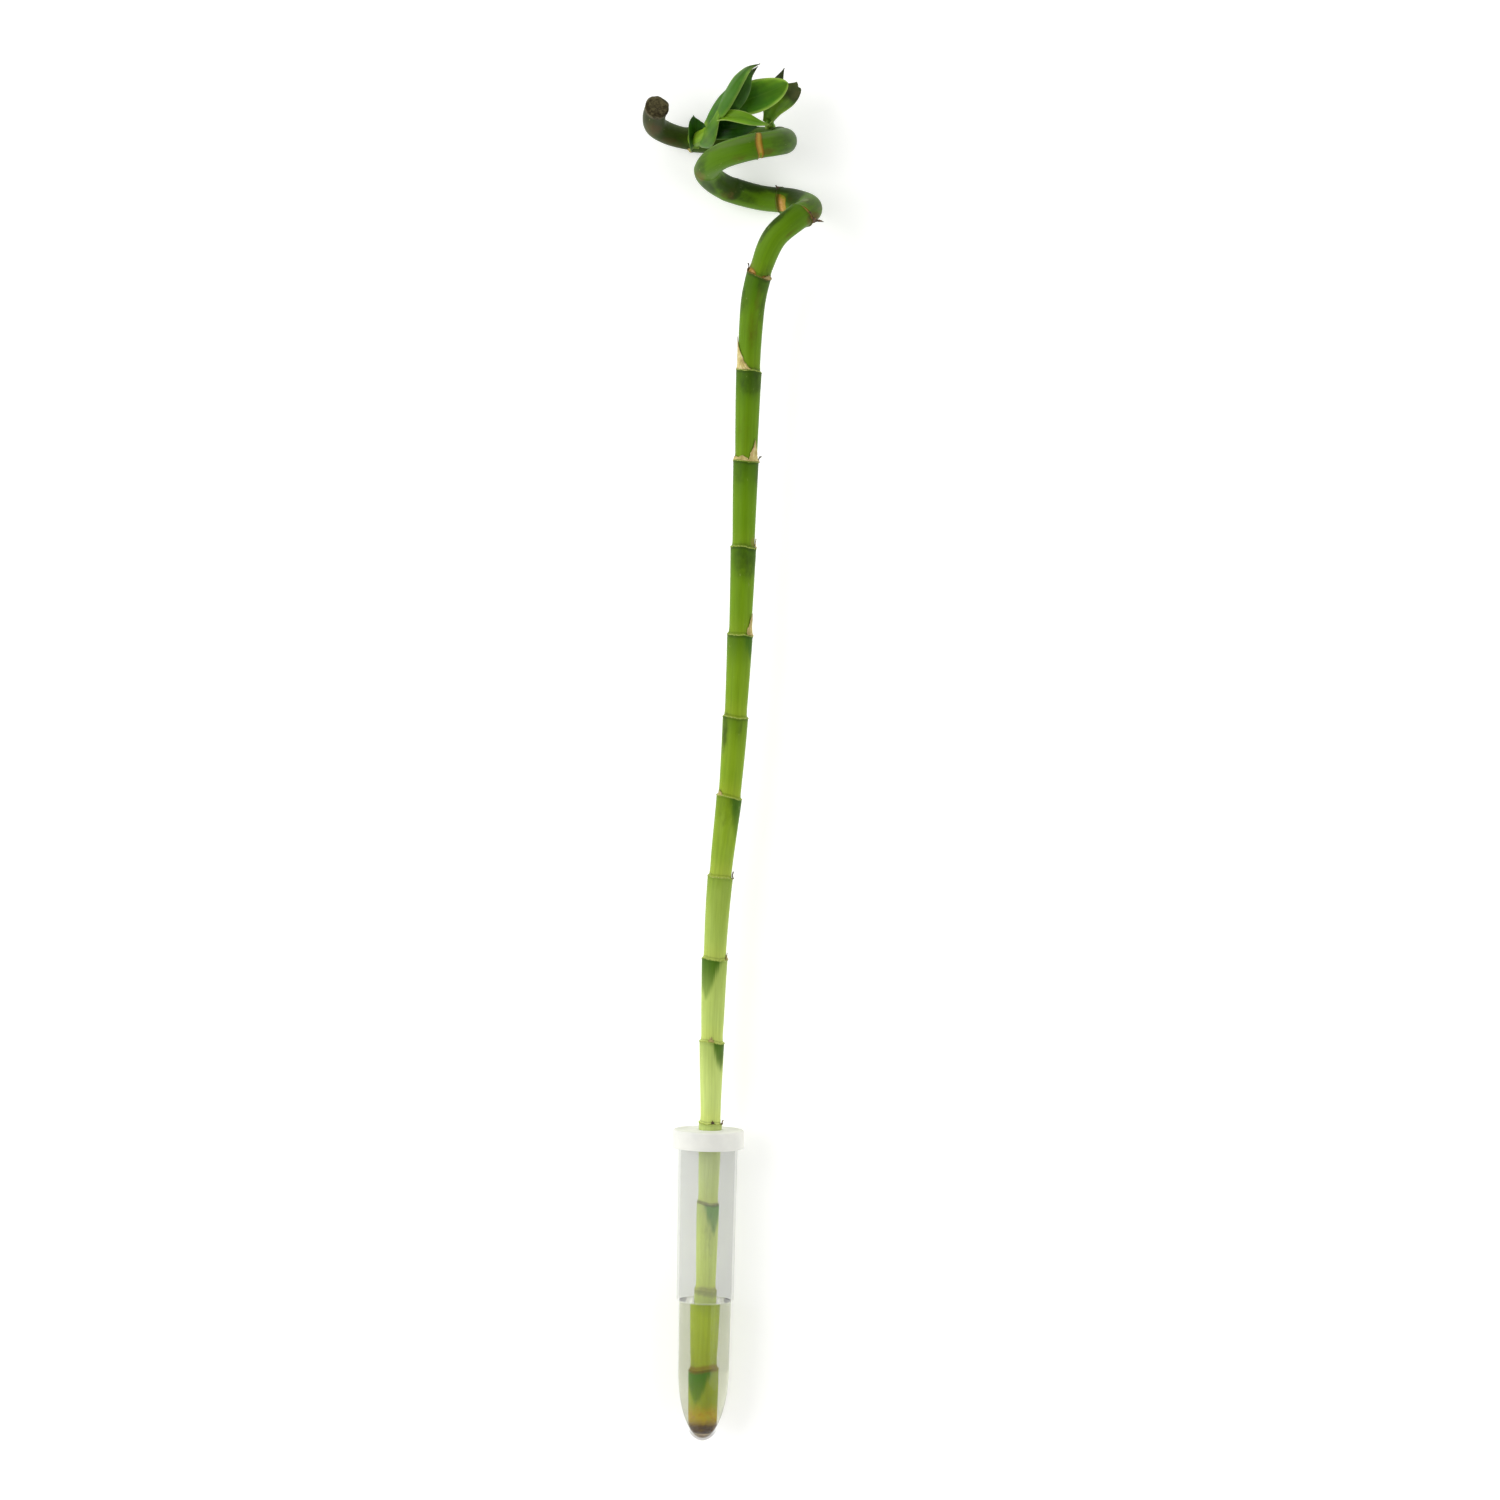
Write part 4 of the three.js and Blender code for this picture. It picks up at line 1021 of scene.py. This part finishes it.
# %% Blades of the back shoot
BACK_BLADES = {
    "boat_leaf": dict(
        line=[
            (14.8, 480.2, 12.8), (17, 483.8, 17.5), (19.8, 487.4, 20), (22.4, 490.6, 19.7),
            (23.3, 493.7, 17.9),
        ],
        face=[(-0.4, 0.3, 0.85), (-0.3, 0.3, 0.9)], curl=(210, 80), width=11.4, foot=0.55, fullest=0.62,
        blunt=0.4, cut=0.5, torn=((-1, 0), (0.3, 1.6), (1, -2.5)), fold=0.05, tint=0.5, young=0.85,
        brown=0.95,
    ),
    "upright_leaf": dict(
        line=[(14.2, 480.6, 12.5), (14.6, 487.6, 14), (16.6, 493.9, 14.5), (19.8, 500.8, 13)],
        face=[(0.2, -0.1, -0.9), (0.2, -0.2, -0.9)], curl=(170, 60), width=6.6, foot=0.7, fullest=0.45,
        tint=0.2, brown=1.0,
    ),
}
back_net = Net()
stalk(back_net, [(15.2, 478.2, 9.5), (14.9, 480.4, 12.6), (14.8, 481.8, 14)], (2.4, 1.2), 0.5)
for values in BACK_BLADES.values():
    blade(back_net, **values)
print("back shoot:", ", ".join(BACK_BLADES))

# %% [markdown]
# ## The finish of the leaves
#
# A leaf is darker and glossier than the cane. The veins show as fine lighter lines, a thin pale
# thread along the margin is a painted highlight, a young leaf is yellow-green and may have a
# darker heart with painted highlights near its margins, and the tips of the older blades have
# dried to dark brown. Most of it hangs on two marks: where a point is between foot and tip, and
# between the margins.

# %% Leaf finish
leaf_finish, wire = new_finish("living_leaf")
along, across, half = wire.mark("leaf_along"), wire.mark("leaf_across"), wire.mark("leaf_width")
tint, young, heart = wire.mark("tint"), wire.mark("young"), wire.mark("heart")
brown_tip, under = wire.mark("brown"), wire.mark("under")
place = wire.place()
cloud, broad_cloud = place.noise(190, 3.0), place.noise(75, 2.0)
green = (tint * 0.8 + (cloud - 0.5) * 0.6 + 0.1).stops(
    (0.0, "#0e2c02"), (0.3, "#24520a"), (0.55, "#427c0e"), (0.8, "#629818"), (1.0, "#88ae30"),
)
green = green.under((young * 1.2 + (broad_cloud - 0.5) * 2.0 - 0.3).eased(0.1, 0.8) * 0.75, "#7ea51f")
green = green.under((1 - along.eased(0.0, 0.2)) * 0.5, "#8fae32")
middle = 1 - ((across - 0.15).size() + (cloud - 0.5) * 0.5).eased(0.4, 0.85)
green = green.under(heart * middle * 0.52, "#2e5e08")
from_margin = (1 - across.size()) * half
# painted highlights near the margins of blades that have a darker heart
green = green.under(heart * (1 - from_margin.eased(0.3, 1.3)) * 0.6, "#9cc04a")
stripe_at = wire.node("CombineXYZ", None, {0: across * half * 0.55, 1: along * 1.6, 2: tint * 9})
stripes = stripe_at.noise(1.0, 2.0)
green = green.lit(0.42 + 1.16 * stripes)
vein_at = across * half * 16 + (cloud - 0.5) * 1.2
vein = wire.sum("SINE", vein_at, 0)
green = green.lit(0.95 + 0.07 * vein)
green = green.under((1 - across.size().eased(0.1, 0.6)) * along.eased(0.25, 0.6) * 0.3, "#2c5606")
green = green.under((1 - across.size().eased(0.0, 0.08)) * 0.08, "#84a848")
green = green.under(under * 0.15, "#6d8c4a")
# painted highlight: a thin pale thread along the margins, stronger on young blades
margin = 1 - from_margin.eased(0.08, 0.32)
green = green.under(margin * (0.12 + 0.45 * young), "#a8ba6a")
dry_tip = (along + (cloud - 0.5) * 0.3 + brown_tip * 0.4).eased(0.93, 1.13) * brown_tip.eased(0.0, 0.3)
dead = cloud.stops((0.35, "#161e06"), (0.55, "#28280e"), (0.7, "#40381f"))
green = green.under(dry_tip * 0.85, dead)
gloss = 0.34 + 0.12 * cloud + margin * 0.15 + dry_tip * 0.25
waxy = {"IOR": 1.42, "Specular IOR Level": 0.22}
lay_on(wire, green, gloss, vein * 0.12 + cloud * 0.6, depth=0.08, **waxy)

# %% Make the shoots
front_net.piece("front_shoot", "leaf", leaf_finish, ["leafy_shoot_front"])
back_net.piece("back_shoot", "leaf", leaf_finish, ["leafy_shoot_back"])

# %% [markdown]
# ## The flower tube
#
# The tube is blow-moulded soft plastic, frosted, so it shows the cane as through thin milk. A
# glass shader with a rough surface would blur what is behind, but it is noisy and dark under
# soft light. A thin white veil, drawn once on each face of the wall, adds up by itself: more
# where the wall is seen edge-on, less in the middle.

# %% Turn a profile round the tube's axis
TUBE_SIDES = 96


def turned(profile, hole=None):
    """A closed profile of (radius, distance from the tip), turned round the tube's axis."""
    profile = np.array(profile, float)
    angles = np.arange(TUBE_SIDES) / TUBE_SIDES * 2 * np.pi
    points = np.zeros((len(profile), TUBE_SIDES, 3))
    points[..., 0] = profile[:, :1] * np.cos(angles)
    points[..., 1] = profile[:, 1:2]
    points[..., 2] = profile[:, :1] * np.sin(angles) + TUBE_AXIS_HEIGHT
    if hole is not None:
        rows, (right, height) = hole
        points[rows, :, 0] += right
        points[rows, :, 2] += height - TUBE_AXIS_HEIGHT
    return points


def turned_net(profile):
    """The net of a turned profile, with each point's distance from the tip as its mark."""
    net = Net()
    net.round(turned(profile)[:, ::-1], from_tip=np.repeat([far for _, far in profile], TUBE_SIDES))
    return net


def arc(middle, radius, start, end, count):
    """Points of a small rounding in a profile, with its angles in degrees."""
    angles = np.radians(np.linspace(start, end, count))
    return [(middle[0] + radius * np.cos(a), middle[1] + radius * np.sin(a)) for a in angles]


print("profiles are (radius, distance from the tip) in mm")

# %% Tube
TIP_LENGTH, TIP_RADIUS, MOUTH_RADIUS, TUBE_LENGTH, WALL = 26, 10.3, 10.85, 111.8, 0.9
BEAD_RADIUS, BEAD_LENGTH, BEAD_ROUNDING = 11.4, 2.4, 0.4
TIP_START = 0.02  # the angle from the axis where the net begins; one small face closes it


def tip_profile(inset, count):
    """The tapered round tip, from near the axis to the barrel, shrunk by a wall."""
    radius, length = TIP_RADIUS - inset, TIP_LENGTH - inset
    angles = np.linspace(TIP_START, np.pi / 2, count)
    return [(radius * np.sin(a), TIP_LENGTH - length * np.cos(a)) for a in angles]


shares = np.linspace(0.03, 0.96, 30)
barrel = [(mix(TIP_RADIUS, MOUTH_RADIUS, s), mix(TIP_LENGTH, TUBE_LENGTH, s)) for s in shares]
bead_start = TUBE_LENGTH - BEAD_LENGTH
outer = tip_profile(0, 26) + barrel + [(MOUTH_RADIUS, bead_start), (BEAD_RADIUS - 0.1, bead_start + 0.5)]
outer += arc((BEAD_RADIUS - BEAD_ROUNDING, TUBE_LENGTH - BEAD_ROUNDING), BEAD_ROUNDING, 0, 90, 4)
inner_wall = [(radius - WALL, far) for radius, far in barrel]
inner = [(MOUTH_RADIUS - WALL + 0.2, TUBE_LENGTH), (MOUTH_RADIUS - WALL, TUBE_LENGTH - 0.3)]
inner += inner_wall[::-1] + tip_profile(WALL, 26)[::-1]
tube_net = turned_net(outer + inner)
print("tube wall", WALL, "mm")

# %% [markdown]
# A milky tube is never even: faint streaks run along it where the plastic flowed, and the veil
# is a touch bluer here and there. Where the gel wets the wall it is nearly clear. The thick tip is
# more opaque, and the dark foot seen through it is painted onto it in brown.

# %% Tube finish
GEL_LEVEL = 51
tube_finish, wire = new_finish("frosted_tube")
tube_at = wire.place()
flow = tube_at.stretched(260, 14, 260).noise(1.0, 3.0, 0.55)
speck = tube_at.noise(900, 2.0)
from_tip = wire.mark("from_tip")
wet = 1 - from_tip.eased(GEL_LEVEL - 0.6, GEL_LEVEL + 0.9)
fill_line = 1 - (from_tip - GEL_LEVEL - 0.3).size().eased(0.05, 0.4)
# near the tip the wall is thicker and more opaque; its brown is the dark foot seen through it, painted
thick_tip_and_painted_foot = 1 - from_tip.eased(2.0, 4.6)
veil = 0.15 + 0.05 * flow * (1 - 0.6 * wet) - wet * 0.135 + fill_line * 0.05 + thick_tip_and_painted_foot * 0.32
milk = flow.stops((0.3, "#a4a6a2"), (0.55, "#b0b2ae"), (0.75, "#acabb2"))
# the dark foot seen through the thick tip, painted in brown
milk = milk.under(fill_line, "#f4f6f0").under(thick_tip_and_painted_foot * 0.9, "#5e4638")
lay_on(wire, milk, 0.36 + 0.16 * flow, flow * 0.5 + speck * 0.2, depth=0.02, Alpha=veil, **{"IOR": 1.4})
tube_net.piece("tube", "tube", tube_finish, ["flower_tube"])

# %% Cap
CAP_RADIUS, CAP_INNER, SKIRT_START, CAP_TOP, CAP_PLATE = 13.0, 11.75, 106.7, 113.4, 1.3
HOLE_CENTRE, HOLE_RADIUS = (0.6, 12.9), 4.15
HOLE_ROUNDING, TOP_ROUNDING, SKIRT_ROUNDING = 0.15, 0.7, 0.35
PANEL = [(5.6, 0), (5.9, -0.12), (6.3, -0.3), (10.6, -0.3), (11.0, -0.12), (11.3, 0)]  # sunk in the top
plate_under = CAP_TOP - CAP_PLATE
cap_profile = [(HOLE_RADIUS, plate_under + 0.1)]
cap_profile += arc((HOLE_RADIUS + HOLE_ROUNDING, CAP_TOP - HOLE_ROUNDING), HOLE_ROUNDING, 180, 90, 3)
hole_points = len(cap_profile)
cap_profile += [(radius, CAP_TOP + sunk) for radius, sunk in PANEL]
cap_profile += arc((CAP_RADIUS - TOP_ROUNDING, CAP_TOP - TOP_ROUNDING), TOP_ROUNDING, 90, 0, 7)
cap_profile += [(CAP_RADIUS, mix(CAP_TOP, SKIRT_START, s)) for s in (0.3, 0.5, 0.7)]
cap_profile += arc((CAP_RADIUS - SKIRT_ROUNDING, SKIRT_START + SKIRT_ROUNDING), SKIRT_ROUNDING, 0, -90, 5)
cap_profile += [(CAP_INNER, SKIRT_START), (CAP_INNER, plate_under), (HOLE_RADIUS + 0.3, plate_under)]
hole_rows = list(range(hole_points)) + [len(cap_profile) - 1]
cap_loops = turned(cap_profile, (hole_rows, HOLE_CENTRE))
print("cap profile has", len(cap_profile), "points")

# %% Close the cap's profile into a ring
faces = round_faces(len(cap_profile) + 1, TUBE_SIDES) % (len(cap_profile) * TUBE_SIDES)
cap_net = Net()
cap_net.add(cap_loops, faces.tolist())

# %% Cap finish
cap_finish, wire = new_finish("white_cap")
cap_at = wire.place()
mould = cap_at.noise(120, 3.0)
pebble = cap_at.noise(1500, 2.0)
white = mould.stops((0.3, "#d6d6cf"), (0.6, "#e0e0d8"), (0.8, "#dbdace"))
lay_on(wire, white, 0.42 + 0.14 * mould, pebble * 0.4 + mould * 0.6, depth=0.04, **{"IOR": 1.48})
cap_net.piece("cap", "cap", cap_finish, ["tube_cap"])

# %% [markdown]
# ## The gel
#
# Clear gel fills nearly half of the tube. It bends light as water does, so the cane looks a third
# wider in it. That comes from a true glass-like body with the bending power of water: painting a
# wider cane would look wrong from every other side. The body has no hollow for the cane,
# because a layer of air between them would turn into a mirror.

# %% Gel
GEL_GAP = 0.1
# where the gel creeps up the wall: how far from the wall, and how far above its level
MENISCUS = [(0, -0.2), (0, 0.1), (0, 0.22), (0.05, 0.25), (0.2, 0.15), (0.5, 0), (0.8, 0)]
level_share = (GEL_LEVEL - TIP_LENGTH) / (TUBE_LENGTH - TIP_LENGTH)
gel_radius = mix(TIP_RADIUS, MOUTH_RADIUS, level_share) - WALL - GEL_GAP
gel_profile = tip_profile(WALL + GEL_GAP, 24) + [(gel_radius - 0.15, 34), (gel_radius - 0.05, 42)]
gel_profile += [(gel_radius - inset, GEL_LEVEL + rise) for inset, rise in MENISCUS]
gel_profile += [(4.5, GEL_LEVEL), (0.2, GEL_LEVEL)]
gel_net = turned_net(gel_profile)
gel_finish, wire = new_finish("clear_gel")
gel_at = wire.place()
swirl = gel_at.noise(90, 2.0)
tea = swirl.stops((0.3, "#cdcfba"), (0.7, "#d6d8c6"))
tea = tea.under((1 - wire.mark("from_tip").eased(2.0, 9.0)) * 0.7, "#b08c50")
clear = {"Transmission Weight": 1.0, "IOR": 1.33, "Specular IOR Level": 0.25}
lay_on(wire, tea, 0.03 + 0.03 * swirl, swirl, depth=0.05, **clear)
gel_net.piece("gel", "gel", gel_finish, ["water_gel"])

# %% [markdown]
# ## Table, light and camera
#
# The plant was shot from straight above on white, with the light coming in low from all sides
# and a little more of it from the left. A large pale floor, a sky that is brightest near the
# horizon and two broad soft lamps give the same soft modelling.

# %% Floor
floor_mesh = bpy.data.meshes.new("floor")
FLOOR_HALF = 6.0
corners = [(x * FLOOR_HALF, y * FLOOR_HALF, 0) for x, y in ((-1, -1), (1, -1), (1, 1), (-1, 1))]
floor_mesh.from_pydata(corners, [], [(0, 1, 2, 3)])
floor_finish, wire = new_finish("pale_floor")
lay_on(wire, paint("#fafaf8"), 0.7, **{"Emission Strength": 0.25})
floor_mesh.materials.append(floor_finish)
floor = placed("floor", floor_mesh)

# %% Sky
world = bpy.data.worlds.new("soft_sky")
bpy.context.scene.world = world
world.use_nodes = True
sky_wire = Wire(world.node_tree)
way = sky_wire.node("TexCoord")
right, up = (sky_wire.node("SeparateXYZ", None, {0: way}, out=i) for i in (0, 2))
SKY_GLOW, HORIZON_GLOW, LEFT_GLOW = 0.26, 1.3, 0.22
glow = SKY_GLOW + (1 - up.eased(0.0, 0.95)) * HORIZON_GLOW - right * LEFT_GLOW
sky = world.node_tree.nodes["Background"]
sky.inputs["Color"].default_value = (1, 1, 1, 1)
world.node_tree.links.new(glow.socket, sky.inputs["Strength"])
print("the sky is brightest near the horizon")


# %% Soft lamp
def softbox(name, place, size, watts):
    """A square soft light that looks at the middle of the plant."""
    data = bpy.data.lights.new(name, "AREA")
    data.size, data.energy = size, watts
    lamp = placed(name, data)
    lamp.location = place
    x, y, z = place
    lamp.rotation_euler = (np.arctan2(np.hypot(x, y), z), 0, np.arctan2(x, -y))
    return lamp


key = softbox("key", (-1.35, 0.3, 1.2), 1.3, 15)
softbox("fill", (1.35, -0.2, 1.2), 1.3, 10)
print("key light at", [round(value, 2) for value in key.location])

# %% Camera
PIXEL_MM, PHOTO_PIXELS, SENSOR_MM = 0.363, 1500, 36
FOCUS, DISTANCE, TURN = (12.3, 252, 18.0), 1200.0, 1.17
camera_data = bpy.data.cameras.new("camera")
camera_data.sensor_width = SENSOR_MM
camera_data.lens = SENSOR_MM * DISTANCE / (PHOTO_PIXELS * PIXEL_MM)
camera = placed("camera", camera_data)
camera.location = in_frame((FOCUS[0], FOCUS[1], FOCUS[2] + DISTANCE))
camera.rotation_euler = (0, 0, np.radians(TURN))
bpy.context.scene.camera = camera
bpy.context.scene.view_settings.view_transform = "Standard"
